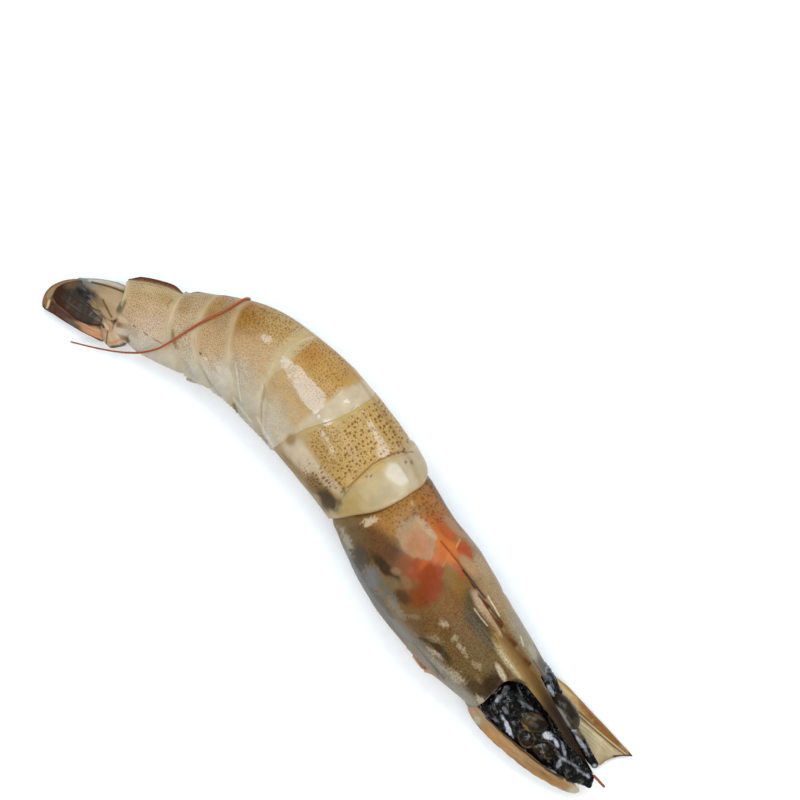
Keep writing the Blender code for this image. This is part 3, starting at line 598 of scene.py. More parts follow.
BEAK = np.array([  # along, crest height, keel height, half width
    (20, 12.6, 11.4, 0.2), (28, 13.1, 11.2, 0.9), (36, 12.9, 10.4, 1.7), (44, 12, 9.1, 2.2),
    (50, 11.1, 8, 2.1), (55, 9.8, 6.9, 1.6), (60, 8.3, 5.7, 1.2), (67, 5.3, 3.6, 0.8), (75, 1.9, 1.4, 0.12),
])
TEETH = 8
FIRST_TOOTH, LAST_TOOTH = 24.0, 64.0
TOOTH_HEIGHT = 1.1

line = np.linspace(BEAK[0, 0], BEAK[-1, 0], 520)[:, None]
crest, keel_low, half_width = (through(line, BEAK[:, 0], BEAK[:, k]) for k in (1, 2, 3))
pitch = (LAST_TOOTH - FIRST_TOOTH) / TEETH
step = ((line - FIRST_TOOTH) / pitch) % 1.0
tooth = np.interp(step, [0.0, 0.35, 0.80, 0.90, 1.0], [0.0, 0.18, 1.0, 0.0, 0.0])
tooth *= smooth(FIRST_TOOTH, FIRST_TOOTH + 3, line) * (line < LAST_TOOTH) * (1 - 0.75 * smooth(49, 54, line))
# half outline from crest to keel: (share of half width, share of depth)
outline = np.array([(0.0, 0.0), (0.10, 0.04), (0.14, 0.15), (0.22, 0.30), (0.45, 0.45),
                    (0.80, 0.60), (1.0, 0.72), (0.96, 0.84), (0.6, 0.94), (0.0, 1.0)])
wide = np.r_[outline[:, 0], -outline[-2:0:-1, 0]]
deep = np.r_[outline[:, 1], outline[-2:0:-1, 1]]
beak_points = place(line, half_width * wide,
                    crest - (crest - keel_low) * deep + TOOTH_HEIGHT * tooth * np.exp(-deep / 0.07))
side_depth = np.broadcast_to(deep, beak_points.shape[:-1])
side_rib = np.exp(-((side_depth - 0.72) / 0.14)**2)
top_edge = np.exp(-(side_depth / 0.16)**2)
base = layer(plain("76582f", beak_points), "2c2017", smooth(48, 60, line))
golden = layer(linear("ab8a50"), "4a3622", smooth(51, 59, line))
base = layer(base, golden, side_rib * smooth(72, 62, line))
toothed = 0.85 * top_edge * (0.35 + 0.65 * smooth(0.1, 0.6, tooth)) * (1 - 0.8 * smooth(48, 53, line))
base = layer(base, "52200f", toothed)
gap = (smooth(0.82, 0.95, step) + smooth(0.16, 0.04, step)) * smooth(55, 40, line)
base = layer(base, "97795a", 0.45 * top_edge * gap)
under = smooth(0.74, 0.86, side_depth) * smooth(49, 53, line)
base = layer(base, "2a1f14", 0.9 * under)
skin_piece("rostrum_blade", beak_points, shield_finish, base, "carapace_shell", "carapace")


# ---------------------------------------------------------------- abdomen shells
# Six rings of thin chitin round the tail muscle. Each slides under the one ahead of it and ends in a thin lip
# behind; the first swells out over the rear edge of the carapace, and the last three carry a sharp keel.

SHELL_REARS = np.array([  # along, at the turns of EDGE_TURNS, for each ring
    (-13.6, -15.1, -18.4, -19.8, -18.5), (-29.8, -32, -30.4, -24.6, -24), (-41.3, -42.4, -41, -34, -34),
    (-46.6, -48.5, -48.2, -43.4, -43), (-53.2, -54.6, -53.9, -49.6, -50), (-64.3, -64.2, -64.4, -64.9, -64.5),
])
BAND_REAR = np.array([-1.6, -3.4, -1.0, 0.6, 0.0])       # groove behind the first ring's swollen front
FACET_REAR = np.array([-20.2, -18.2, -20.0, -21.0, -20.0])   # of the second ring, where it slides in
KEELS = {4: (-43.0, -46.6, 0.15), 5: (-48.0, -53.4, 0.25), 6: (-53.0, -64.6, 0.95)}   # begin, end, height

FLESH_BANDS = {  # ovals: along, turn, half length, half breadth, slant, softness, colour, cover
    1: [(-7, 20, 8.5, 22, 0, 0.3, "bb9d66", 1), (-7, -30, 9, 10, 0, 0.5, "b59862", 1),
        (-12.5, 84, 5, 2.2, 0, 0.4, "b39460", 0.9), (-8, 140, 12, 5, 0, 0.4, "98845f", 1),
        (1.5, 50, 3.6, 16, 0, 0.3, "b7a27c", 1), (1.5, 20, 3.4, 4, 0, 0.6, "bcae97", 0.9),
        (1.5, 84, 3.4, 3, 0, 0.6, "ae9562", 0.9), (0, -25, 4, 8, 0, 0.5, "b3a48c", 0.9),
        (2.6, 47, 1.6, 3.4, 0, 0.7, "a8987e", 0.5), (-1.9, 50, 0.22, 0.3, -30, 0.4, "5d4c3a", 0.8),
        (-2.3, 54, 0.22, 0.3, 0, 0.4, "5d4c3a", 0.8), (-0.4, 8, 0.3, 0.4, 0, 0.4, "7a6450", 0.8),
        (0.2, 0, 0.35, 0.4, 0, 0.4, "7a6450", 0.8), (-2.5, 84, 0.9, 0.4, 35, 0.5, "6a4a24", 0.8)],
    2: [(-24, 20, 8, 19, 0, 0.4, "b48e54", 1), (-24, 66, 6.5, 3.4, 0, 0.5, "b5925c", 0.9),
        (-24, 88, 8, 4.6, 0, 0.5, "b69a72", 0.9), (-24, 111, 8, 3.6, 0, 0.5, "bbaf9f", 0.95),
        (-24, 140, 9, 5, 0, 0.5, "bbb4aa", 1), (-27.6, 30, 1.8, 3, 0, 0.8, "a9753a", 0.6),
        (-16.6, 40, 2.2, 16, 8, 0.3, "bfae96", 1), (-30.6, 35, 0.8, 11, 6, 0.4, "bba67f", 0.8)],
    3: [(-37, 50, 8, 14, 0, 0.4, "bc9f77", 1), (-36, 25, 5.5, 6, 0, 0.5, "b0925f", 0.9),
        (-41.6, 33, 3.4, 7.6, -4, 0.9, "9a7038", 1), (-37, 88, 7, 4.2, 0, 0.5, "bc9f7c", 0.9),
        (-35, 114, 8, 4.6, 0, 0.5, "b9ad9d", 1), (-34, 145, 9, 5, 0, 0.5, "b0a99c", 1),
        (-32.4, 35, 0.9, 11, 6, 0.4, "bba67f", 0.8), (-30.6, 80, 1.6, 4, 0, 0.5, "c2b296", 0.6)],
    4: [(-45.5, 60, 4.5, 14, 0, 0.4, "b49a78", 1), (-46.2, 32, 3, 6, 0, 0.5, "a98658", 0.95),
        (-43, 118, 5.5, 4.4, 0, 0.5, "c6bbae", 1), (-45.6, 88, 3.5, 3, 0, 0.6, "b79b78", 0.8),
        (-42, 145, 6, 5, 0, 0.5, "bdb6ac", 1), (-46.8, 100, 0.34, 0.26, 0, 0.25, "2f2818", 0.9),
        (-45.6, 103, 0.5, 0.3, 0, 0.3, "dcd4c4", 0.7), (-44.4, 30, 0.8, 6, 0, 0.5, "a08a6c", 0.8)],
    5: [(-51, 60, 5, 12, 0, 0.4, "bda587", 1), (-51, 28, 4, 4, 0, 0.5, "ad9474", 0.9),
        (-50.5, 114, 5, 4.6, 0, 0.5, "b9a78f", 1), (-48, 145, 6, 5, 0, 0.5, "bdb6ac", 1),
        (-52.6, 47, 1.4, 2, 0, 0.5, "a5865e", 0.7)],
    6: [(-59, 60, 9, 12, 0, 0.4, "b59a77", 1), (-59, 22, 8, 2.2, 0, 0.5, "b7a17c", 0.8),
        (-58, 112, 8, 4, 0, 0.5, "bba187", 1), (-57, 150, 8, 5, 0, 0.5, "bdb6ac", 1),
        (-57, 45, 1.6, 1.6, 0, 0.5, "ab9064", 0.6), (-64, 80, 0.5, 1.4, 10, 0.4, "5c5030", 0.85)],
}
SHELL_LINES = {  # lines over each ring: points (along, turn), half width, colour, cover
    1: [([(-1.2, -12), (-2.9, 12), (-3.7, 44), (-2.6, 78)], 0.30, "8a5a2c", 0.75)],
    2: [([(-31.5, 40), (-29.8, 88), (-25.2, 118)], 0.4, "a99f8c", 0.35)],
    # a grey line with a pale line beside it along a fold of the side plate: painted shade and painted glint
    # of the fold
    3: [([(-40.5, 84), (-37.6, 102), (-34.5, 116)], 0.5, "958c80", 0.3),
        ([(-39.4, 94), (-36.6, 108), (-33, 122)], 0.3, "e0d9ce", 0.45)],
    4: [([(-47, 94), (-45, 103), (-42.5, 112)], 0.35, "8f8068", 0.25),
        ([(-47.6, 10), (-46.8, 20)], 0.3, "8a5a34", 0.4)],
    5: [([(-53.2, 88), (-52.6, 96), (-51.6, 104)], 0.45, "8a6f50", 0.7)],
    6: [([(-60.9, 101), (-60.4, 102)], 0.19, "5c4329", 0.85),
        ([(-58.4, 104), (-57.4, 105)], 0.17, "5c4329", 0.8),
        ([(-56.2, 106), (-53.8, 108)], 0.14, "8a5538", 0.8),
        ([(-64.4, 20), (-62, 21), (-58.5, 17)], 0.3, "a06a48", 0.6),
        ([(-61.5, 60), (-61.3, 70), (-61.8, 80)], 0.5, "a3907a", 0.4),
        ([(-55.6, 42), (-56.2, 54), (-55.6, 60)], 0.3, "8b7040", 0.5)],
}
FLANK_PAINT = [  # over the flank of all six rings, in plan: patches, then folds of the side plates, whose pale lines are painted glints
    (-14.6, 11.2, 7.4, 2, -4, 0.25, "c4b39f", 0.95), (-8, 10.9, 3.8, 0.95, -3, 0.5, "bfad95", 0.9),
    (-13.6, 8, 5.6, 0.8, -6, 0.6, "907852", 0.85), (-9.2, 8.5, 2.5, 1.4, -6, 0.5, "80653a", 0.95),
    (-4.9, 8, 2.7, 1.7, -4, 0.45, "4a361d", 1), (-19.5, 12.5, 1, 1.1, 0, 0.6, "8f703f", 0.8),
    (-39.4, 8.4, 1.6, 0.6, 6, 0.5, "a19a8b", 0.7), (-46.5, 9.6, 3, 0.6, -12, 0.6, "aba28f", 0.5),
    ([(-31.3, 17.6), (-30, 16.2), (-28.6, 13.6), (-27, 11.8)], 0.35, "8d8268", 0.5),
    # pale line: painted glint along a fold
    ([(-27.5, 11.2), (-24.5, 10), (-21.3, 8.9)], 0.35, "d3cabb", 0.6),
    ([(-24.4, 9), (-22.6, 8.7)], 0.40, "857b66", 0.7), ([(-33.2, 10), (-31.7, 9.3)], 0.45, "625d4e", 0.85),
    # pale line: painted glint along a fold
    ([(-34.2, 11), (-31, 10.3), (-28, 9.7)], 0.3, "cfc9bb", 0.6),
    ([(-44.4, 11.6), (-40, 10.2), (-36.4, 9.6)], 0.35, "938d7c", 0.45),
    ([(-63.6, 7.1), (-62.4, 6.5), (-60.4, 5.9), (-58.6, 5.4)], 0.6, "6e5230", 0.9),
]
FRECKLES = {  # large, medium and fine pigment cells over each ring
    1: [(-8.5, 10, 6.6, 19, 0, 0.12, (1, 0.45, 0.5), 1), (-8, -45, 8, 8, 0, 0.5, (0.8, 0.3, 0.4), 1),
        (-12.5, 78, 5, 3, 0, 0.3, (0.3, 0.9, 0.4), 1), (-8.5, 114, 4.5, 1.2, 0, 0.3, (0.1, 0.9, 0.6), 1)],
    2: [(-25, 18, 6.2, 15, 0, 0.2, (0, 0.72, 0.35), 1), (-26, 75, 5, 5, 0, 0.5, (0, 0.4, 0.4), 0.9),
        (-24, 100, 7, 5, 0, 0.5, (0, 0.1, 0.3), 0.9), (-25, -40, 6, 8, 0, 0.5, (0, 0.9, 0.2), 1)],
    3: [(-37.5, 20, 4.8, 14, 0, 0.5, (0, 0.75, 0.75), 1), (-37.5, -30, 5, 9, 0, 0.3, (0, 0.7, 0.4), 1),
        (-37, 80, 6, 6, 0, 0.6, (0, 0.25, 0.45), 0.9)],
    4: [(-45.5, 30, 4, 11, 0, 0.4, (0, 0.25, 0.75), 1), (-45.5, 85, 4.5, 6, 0, 0.6, (0, 0.1, 0.55), 0.9)],
    5: [(-51, 45, 4.5, 11, 0, 0.5, (0, 0.1, 0.7), 1)],
    6: [(-59, 50, 7.5, 9, 0, 0.5, (0, 0, 0.6), 1)],
}
WET = {  # where the water film stands unbroken on each ring: ovals in plan, up to their softness
    1: [(2.6, 21.9, 2.8, 2.2, -12, 0.2), (-6, 25, 3.6, 0.8, -20, 0.3), (-3, 23.6, 2.2, 1.5, -38, 0.25),
        (-12.6, 16.7, 4.4, 0.7, -25, 0.4), (-6.6, 13.9, 1.9, 0.5, -30, 0.4), (-15.9, 19.9, 2, 0.45, 66, 0.2),
        (-12, 27.2, 0.7, 0.6, 0, 0.4), (6.3, 20.5, 0.35, 5, -14, 0.4)],
    2: [(-30.2, 23.8, 1.9, 1.3, -12, 0.12), (-27, 23.4, 2.9, 1.5, -8, 0.12),
        (-23.4, 22.5, 3.4, 2.1, -8, 0.12), (-20.8, 22, 2, 2.3, 0, 0.12), (-19.4, 20.1, 2.4, 0.95, -38, 0.15),
        (-24.6, 24, 4.5, 0.8, -3, 0.12), (-15.3, 27.4, 2, 0.65, 66, 0.2), (-13.6, 26.4, 2.4, 0.35, 66, 0.2),
        (-16.4, 19.3, 2.2, 0.65, 66, 0.2), (-23.6, 9.9, 4.2, 0.35, -22, 0.5)],
    3: [(-37.5, 25.1, 1.2, 1, -20, 0.4), (-36, 14, 2.4, 0.4, -48, 0.5), (-30, 10.4, 3, 0.35, -20, 0.5)],
    4: [(-42.6, 11.6, 2.6, 0.35, -22, 0.5)],
    5: [],
    6: [(-64, 11, 0.5, 0.5, 0, 0.5)],
}


def ring_edges(number, turn):
    """Where one ring's shell begins and ends along the body at each turn."""
    if number == 1:
        return shield_rear(turn), edge(turn, SHELL_REARS[0])
    return edge(turn, SHELL_REARS[number - 2]), edge(turn, SHELL_REARS[number - 1])


def ring_relief(number, along, turn, front, rear, points):
    """How far one ring's open surface stands out: it rises from under the next, swells and ends level."""
    share = (along - front) / (rear - front)
    arc = turn * girth(along)
    away = np.degrees(np.abs(turn))
    if number == 1:
        groove = edge(turn, BAND_REAR)
        band = np.clip((along - groove) / (front - groove), 0, 1)
        rise = np.where(along > groove, 0.15 + 0.62 * np.sqrt(1 - np.abs(2 * band - 1)**5), 0.0)
        rise = rise + np.where(along <= groove, 0.32 - 0.33 * smooth(0, 8, groove - along), 0.0)
        rise = rise - 0.28 * np.exp(-((along - groove) / 0.22)**2)
        rise = rise * smooth(112, 92, away) + 0.2 * smooth(92, 112, away)
    else:
        rise = through(share, np.array([0.0, 0.06, 0.15, 0.35, 0.7, 1.0]),
                       np.array([-0.04, -0.01, 0.02, 0.05, 0.06, 0.01]))
    if number == 2:
        facet = edge(turn, FACET_REAR)
        rise = rise + (0.03 - 0.07 * smooth(-0.2, 0.3, along - facet)) * smooth(84, 70, away)
    if number in KEELS:
        begin, end, height = KEELS[number]
        swelling = smooth(begin, begin - 3.5, along) * (1 - 0.75 * smooth(0.82, 1.0, share))
        rise = rise + height * np.exp(-(np.abs(arc) / 0.42)**1.6) * swelling
    if number == 1:     # its left side lies flatter, pressed down by its own weight
        rise = rise - 0.45 * smooth(-22, -62, np.degrees(turn)) * smooth(-2, 5, along)
    hanging = smooth(96, 130, away)
    if 1 < number < 6:      # the side plates flare a little and are pleated along their slant
        slant = along * 0.8 + np.abs(arc) * 0.6
        flare = 0.55 if number < 5 else 0.15
        rise = rise + hanging * (flare + 0.07 * np.sin(4.4 * slant + 1.5 * swell(points, 4.0, 40 + number)))
    if number == 6:     # drawn in under its rear corner, where the tail fan's foot comes out
        rise = rise - 1.7 * smooth(0.55, 1.0, share) * smooth(84, 112, away)
        rise = rise - 0.7 * smooth(0.45, 0.0, share) * np.exp(-(arc / 3.0)**2)
    if number == 5:     # it dips to the foot of the last ring's keel
        rise = rise - 0.6 * smooth(0.55, 1.0, share) * np.exp(-(arc / 3.0)**2)
    return rise + 0.03 * swell(points, 7.0, 30 + number) + 0.004 * swell(points, 1.8, 50 + number)


def pleuron_lobe(along, turn, front, rear):
    """1 on the shell and 0 below its free lower margin, which hangs as one rounded lobe on each side."""
    share = np.clip((along - front) / (rear - front), 0, 1)
    margin = 146 + 16 * np.sqrt(np.clip(1 - (2 * share - 1)**2, 0, 1))
    return 1 - smooth(margin - 1.2, margin + 1.2, np.degrees(np.abs(turn)))


def abdomen_shell(number, open_rows):
    """One ring's shell: a tongue or lip in front, the open surface and a lip behind, turned inwards."""
    if number == 1:
        head = [(0.0, -LIP, -0.9), (0.0, -1.5, -0.75), (0.0, -0.4, -0.45), (0.0, 0.0, -0.3),
                (0.0, 0.14, -0.12)]
    else:
        head = [(0.0, TONGUE, -1.6), (0.0, TONGUE - 0.1, -1.1), (0.0, 1.4, -0.85), (0.0, 0.4, -0.62)]
    rows = np.vstack([
        head, [(share, 0.0, 0.0) for share in np.linspace(0, 1, open_rows)],
        [(1.0, -0.08, 0.02), (1.0, -0.10, -0.04), (1.0, -0.05, -0.12), (1.0, 0.5, -0.22), (1.0, LIP, -0.55)],
    ])
    turn = shell_grid(len(rows))
    away = np.degrees(np.abs(turn))
    share, shift, grow = (rows[:, k, None] for k in range(3))
    front, rear = ring_edges(number, turn)
    if number == 6:      # the keel ends in a small spine
        rear = rear + 0.3 * smooth(20, 8, away) - 0.2 * np.exp(-(turn / np.radians(4.0))**2)
    along = front + share * (rear - front) + shift
    points = skin(along, turn)
    is_open = (np.arange(len(rows)) >= len(head)) & (np.arange(len(rows)) < len(head) + open_rows)
    rise = ring_relief(number, along, turn, front, rear, points) * is_open[:, None]
    lobe = pleuron_lobe(along, turn, front, rear)
    rings = skin(along, turn, (grow + rise) * lobe - 0.9 * (1 - lobe))

    wobble = 0.14 * swell(points, 3.2, 70 + number) + 0.05 * swell(points, 1.2, 80 + number)
    painted_turn = np.where(turn < -0.9, -turn, turn)       # the hidden flank is coloured like the other
    marks = FLESH_BANDS[number] + SHELL_LINES[number]
    tint = paint(plain("b39c7c", points), along, painted_turn, marks, wobble, curved=True)
    lip_color, lip_width, lip_cover = ("b3985f", 1.0, 0.8) if number == 1 else ("d2c6ae", 0.35, 0.35)
    lip = np.exp(-((along - rear) / lip_width)**2) * (share > 0.5) * smooth(100, 88, away)
    tint = layer(tint, lip_color, lip_cover * lip)
    if number in KEELS:
        begin = KEELS[number][0]
        width = 0.35 + 0.35 * (number == 6)
        keel = np.exp(-((turn * girth(along) - 0.15) / width)**2) * smooth(begin + 1, begin - 1, along)
        tint = layer(tint, "561f0c", 0.95 * keel)
    else:
        tint = layer(tint, "8a6238", 0.35 * np.exp(-(turn * girth(along) / 0.8)**2))
    tint = layer(tint, "9a8b78", 0.7 * (1 - lobe))
    flank = paint(tint, *seen(rings), FLANK_PAINT, 1.3 * wobble)
    tint = layer(tint, flank, facing_up(along, turn, -0.2, 0.1))

    freckle = paint(np.zeros(along.shape + (3,)), along, painted_turn, FRECKLES[number], wobble, curved=True)
    clear = np.minimum(np.abs(along - rear), np.abs(along - front)) if number > 2 else np.abs(along - rear)
    if number == 1:
        clear = np.minimum(clear, 4 * np.clip(edge(turn, BAND_REAR) - 0.2 - along, 0, None))
    if number == 2:
        clear = np.minimum(clear, 2 * np.clip(edge(turn, FACET_REAR) - along, 0, None))
    freckle = freckle * smooth(0.3, 1.1, clear)[..., None]
    wet = [(*oval, (0.0,), 1.0) for oval in WET[number]]
    dried = paint(np.full(along.shape + (1,), 0.88), *seen(rings), wet, wobble)[..., 0]
    skin_piece(f"abdomen_shell_{number}", rings, shell_finish, tint, "abdomen_shell",
               f"abdomen_segment_{number}", freckle=freckle, mantle_mm=mantle_sheet(along, turn, dried))


shell_finish = wet_chitin("wet_abdomen_chitin", 0.9, 0.06, (0.85, 0.805, 0.70))
for number, open_rows in ((1, 90), (2, 76), (3, 64), (4, 44), (5, 44), (6, 64)):
    abdomen_shell(number, open_rows)


# ---------------------------------------------------------------- tail fan
# A ridged middle plate, the telson, and on each side a thick foot that carries two thin leaves. Folded
# together they overlap, so they look dark where several lie on each other and pale along the free rim.

# plan outlines as (X, Y, height) round each right-hand plate
TELSON = [(-63.6, 13.2, 7), (-66.4, 13.8, 5.2), (-70, 12.4, 3.2), (-72.4, 10.8, 2.9), (-74, 9.5, 2.6),
          (-75.3, 8.3, 2.4), (-74.8, 7.4, 2.4), (-72, 6.4, 2.9), (-68, 6, 4.4), (-64, 6.4, 7),
          (-62.6, 9.5, 8)]
PROTOPOD = [(-58.5, 4.7, 5.6), (-59.3, 3.1, 5), (-60.5, 1.9, 4.6), (-62.3, 2, 4.4), (-64.4, 3.2, 4.5),
            (-65.7, 4.9, 4.8), (-65.4, 6.9, 5.4), (-63, 7, 6), (-60.4, 6, 6.3)]
EXOPOD = [(-62.4, 2.1, 4.2), (-65.5, 0.9, 3.9), (-70, -0.1, 3.3), (-74, -0.7, 2.8), (-77, -0.95, 2.4),
          (-78.2, 0.8, 2.3), (-78.45, 3.1, 2.4), (-77.6, 5.4, 2.7), (-76.3, 7.2, 2.9), (-74.4, 8.7, 3.1),
          (-71.5, 8.6, 3.6), (-67.6, 7.2, 4.3), (-64, 4.6, 4.6)]
ENDOPOD = [(-65, 4.4, 5.6), (-66.6, 2.8, 5), (-69, 1.8, 4.4), (-72, 1.4, 3.9), (-75, 1.35, 3.5),
           (-76.8, 2.2, 3.3), (-77.3, 3.8, 3.3), (-76.7, 5.8, 3.4), (-75.4, 7.6, 3.6), (-73.8, 8.9, 3.9),
           (-71.5, 8.6, 4.5), (-69, 7.8, 5.1), (-66.8, 7.2, 5.5), (-65.3, 6.2, 5.8)]


def closed_curve(points, count):
    """Points evenly spaced along a smooth closed curve through the given ones."""
    points = np.asarray(points, float)
    ring = np.vstack([points[-3:], points, points[:4]])
    reach = np.r_[0, np.cumsum(np.linalg.norm(np.diff(ring, axis=0), axis=1))]
    at = np.linspace(reach[3], reach[-4], count + 1)[:-1]
    return np.stack([through(at, reach, ring[:, k]) for k in range(3)], -1)


def leaf(outline, centre, thickness, bow, fullness=8, facing=(0.0, 0.0, 1.0), sides=220, rings=44):
    """Rings of a rounded plate, from the middle of its upper face over the rim to the middle below.

    With them come each ring's share r of the way to the rim, and 1 above or -1 below.

    Point = centre + r (outline - centre) + facing (bow (1 - r^2) +- thickness / 2 (1 - r^fullness)^0.5).
    """
    rim, centre = closed_curve(outline, sides), np.asarray(centre, float)
    out = np.r_[np.linspace(0.02, 0.94, rings), 0.965, 0.982, 0.993, 1.0]
    out = np.r_[out, out[-2::-1]]
    face = np.where(np.arange(len(out)) < len(out) // 2, 1.0, -1.0)
    face[len(out) // 2] = 0.0
    lift = bow * (1 - out**2) + face * thickness / 2 * np.sqrt(1 - out**fullness)
    points = centre + out[:, None, None] * (rim - centre) + lift[:, None, None] * np.asarray(facing)
    return points, out[:, None], face[:, None]


def ribs(points, rows):
    """Height of raised lines over a plate's plan: a row is a line's (X, Y) points, half width and height."""
    height = np.zeros(points.shape[:-1])
    for line, width, rise in rows:
        height = height + rise * near_line(points[..., 0], points[..., 1], line, width)
    return height


def plate(name, points, face, relief, finish, tint, slot, node, facing=(0.0, 0.0, 1.0)):
    """Makes a plate, given as it is seen in plan, raised by its relief above and below alike."""
    points = under_view(points + (face * relief)[..., None] * np.asarray(facing))
    skin_piece(name, points, finish, tint, slot, node)


def other_side(points):
    """The same plan on the prawn's left: heights mirrored about the body line, which is flat in the tail."""
    low = 2 * rest_height(points[..., 0].ravel()).reshape(points.shape[:-1]) - points[..., 2]
    return np.concatenate([points[..., :2], np.maximum(low, 0.25)[..., None]], -1)


TAIL_PAINT = {  # ground colour of each plate, and the ovals and lines over it in plan
    "telson": ("ad9273", [
        (-66.5, 9.5, 3, 3, 0, 0.6, "b39a7c", 1), (-71, 9.4, 2.6, 1.2, 30, 0.6, "9a8468", 0.9),
        (-73.2, 9.4, 1.9, 1.3, 35, 0.6, "7b7c7c", 0.95), (-72, 7.4, 3, 1, 10, 0.5, "4a423b", 0.95),
        (-66.2, 12.7, 0.8, 0.7, 0, 0.5, "a08058", 0.8), (-68.5, 7.3, 2.5, 0.6, 15, 0.5, "8d7350", 0.8),
        (-64.4, 9.6, 0.7, 1.3, 20, 0.5, "5a5236", 0.9),
        ([(-66.6, 13.3), (-70, 11.85), (-73.2, 9.7)], 0.5, "bcb1a2", 0.95),
        ([(-66, 12.6), (-68, 11.9), (-70, 11), (-72.5, 9.7)], 0.32, "49361f", 0.9),
        ([(-66.6, 14.1), (-70, 12.7), (-72, 11.3), (-74.2, 9.6)], 0.45, "5d5348", 0.9),
        ([(-68.4, 8.4), (-66.5, 7.6), (-64.6, 6.9)], 0.35, "6e4f28", 0.85)]),
    "protopod": ("b4967a", [
        (-61.2, 3.9, 2, 1.3, 0, 0.5, "c5ab8d", 1), (-63.9, 4.5, 1.2, 1, 0, 0.5, "b08664", 0.9),
        # on the hinge: a dark mark, and beside it a pale streak that is a painted glint
        (-61.4, 5.3, 0.9, 0.3, -15, 0.4, "5c4526", 0.9), (-62.3, 5.75, 0.8, 0.22, -20, 0.4, "dcd0b8", 0.8),
        (-64.2, 4.7, 0.9, 0.3, -15, 0.4, "d9c9ad", 0.8),
        ([(-58.6, 4.8), (-59.2, 3.4), (-60.4, 2.1)], 0.55, "4e4038", 0.9),
        ([(-60, 4.8), (-60.7, 3.2), (-61.8, 2.2)], 0.4, "c08a66", 0.7),
        ([(-63.2, 4.1), (-62.5, 3), (-61.8, 2)], 0.22, "6e4128", 0.85),
        ([(-65.6, 6.8), (-63, 6.1), (-60, 5.2), (-58.6, 4.9)], 0.4, "6e4c24", 0.85),
        ([(-65.2, 4.5), (-64.4, 4.2)], 0.35, "33281c", 0.9)]),
    "exopod": ("6a4d38", [
        (-65.8, 2, 4.2, 1.3, 15, 0.3, "b98862", 1), (-63.8, 2.3, 1.8, 0.8, 20, 0.4, "bd8c69", 0.9),
        (-73.6, 0.2, 5.6, 0.9, 3, 0.4, "4a2d1e", 1), (-70.2, 0.3, 1.4, 0.6, 5, 0.5, "5d5650", 0.8),
        (-77.4, 0.2, 1, 1, 0, 0.4, "8c6546", 0.9),
        ([(-77.5, 1.6), (-77.6, 3.2), (-76.9, 5), (-75.8, 6.7), (-74.3, 8.1)], 1, "98805f", 0.95),
        ([(-78.3, 1), (-78.5, 3.1), (-77.7, 5.4), (-76.4, 7.3), (-74.6, 8.8)], 0.38, "8c4c2e", 0.95),
        ([(-76.7, 1.6), (-76.9, 3.4), (-76.4, 5.2), (-75.2, 7)], 0.35, "4c3a2c", 0.8),
        ([(-66, 3.6), (-69.5, 1.7), (-72, 1.2), (-76, 1.1)], 0.40, "5a3322", 0.9),
        ([(-76.7, 0.9), (-76.2, -0.2), (-76.1, -0.7)], 0.35, "d2bc92", 0.9),
        ([(-62.6, 1.8), (-66, 0.6), (-70, -0.3), (-74, -0.9), (-77.2, -1.1)], 0.42, "452a1c", 0.9)]),
    "endopod": ("362c25", [
        (-71.5, 3.4, 4, 1.6, 8, 0.6, "3f2e23", 0.9), (-76.3, 3.4, 1.1, 2, 0, 0.6, "3c2213", 1),
        (-74, 1.9, 3, 0.6, 3, 0.5, "3f2013", 0.9), (-72, 7, 1.9, 1.1, 5, 0.35, "1c1815", 1),
        (-73.4, 7.9, 1.3, 0.7, 20, 0.5, "4f4c4a", 0.8), (-70, 7.4, 1.6, 0.35, 15, 0.4, "5f5c58", 0.7),
        (-68.3, 6.2, 2.1, 0.7, -18, 0.35, "826a42", 0.95), (-66.2, 4.6, 0.8, 1.6, 0, 0.5, "5d4c3b", 0.8),
        (-75.4, 6.4, 0.9, 1.4, -30, 0.5, "6b513a", 0.7),
        ([(-70.3, 5.3), (-67.4, 6.1), (-66, 6.7)], 0.25, "3c2d1c", 0.8),
        ([(-65.3, 4.2), (-66.6, 2.9), (-69, 1.9), (-72, 1.45), (-75.5, 1.5)], 0.3, "33241a", 0.8),
        ([(-68.2, 5.6), (-68.4, 4.4)], 0.22, "6c655c", 0.5), ([(-72.6, 4.3), (-72.8, 2)], 0.2, "6a4a35", 0.4),
        ([(-65.5, 6.9), (-65.6, 5.6), (-65.1, 4.6)], 0.22, "c0a782", 0.6)]),
}
TAIL_RIBS = {
    "telson": [([(-66.6, 13.6), (-70, 12), (-73.6, 9.5)], 0.9, 0.30),
               ([(-64, 9.5), (-69, 9.2), (-73, 8.4)], 1.2, 0.2)],
    "protopod": [([(-64.9, 5.4), (-62, 4.6), (-59.6, 4)], 0.8, 0.25)],
    "exopod": [([(-63.4, 3), (-68, 1.9), (-74, 1.2), (-77.6, 1.2)], 0.5, 0.28),
               ([(-64.4, 3.6), (-70, 3.8), (-76.8, 4.2)], 0.35, 0.14)],
    "endopod": [([(-65.8, 5.4), (-70, 5.4), (-76.2, 4.6)], 0.45, 0.26),
                ([(-66, 4.4), (-71, 3.2), (-76, 2.9)], 0.3, 0.12),
                ([(-66.5, 6.6), (-71, 7), (-75, 6.6)], 0.35, 0.14)],
}


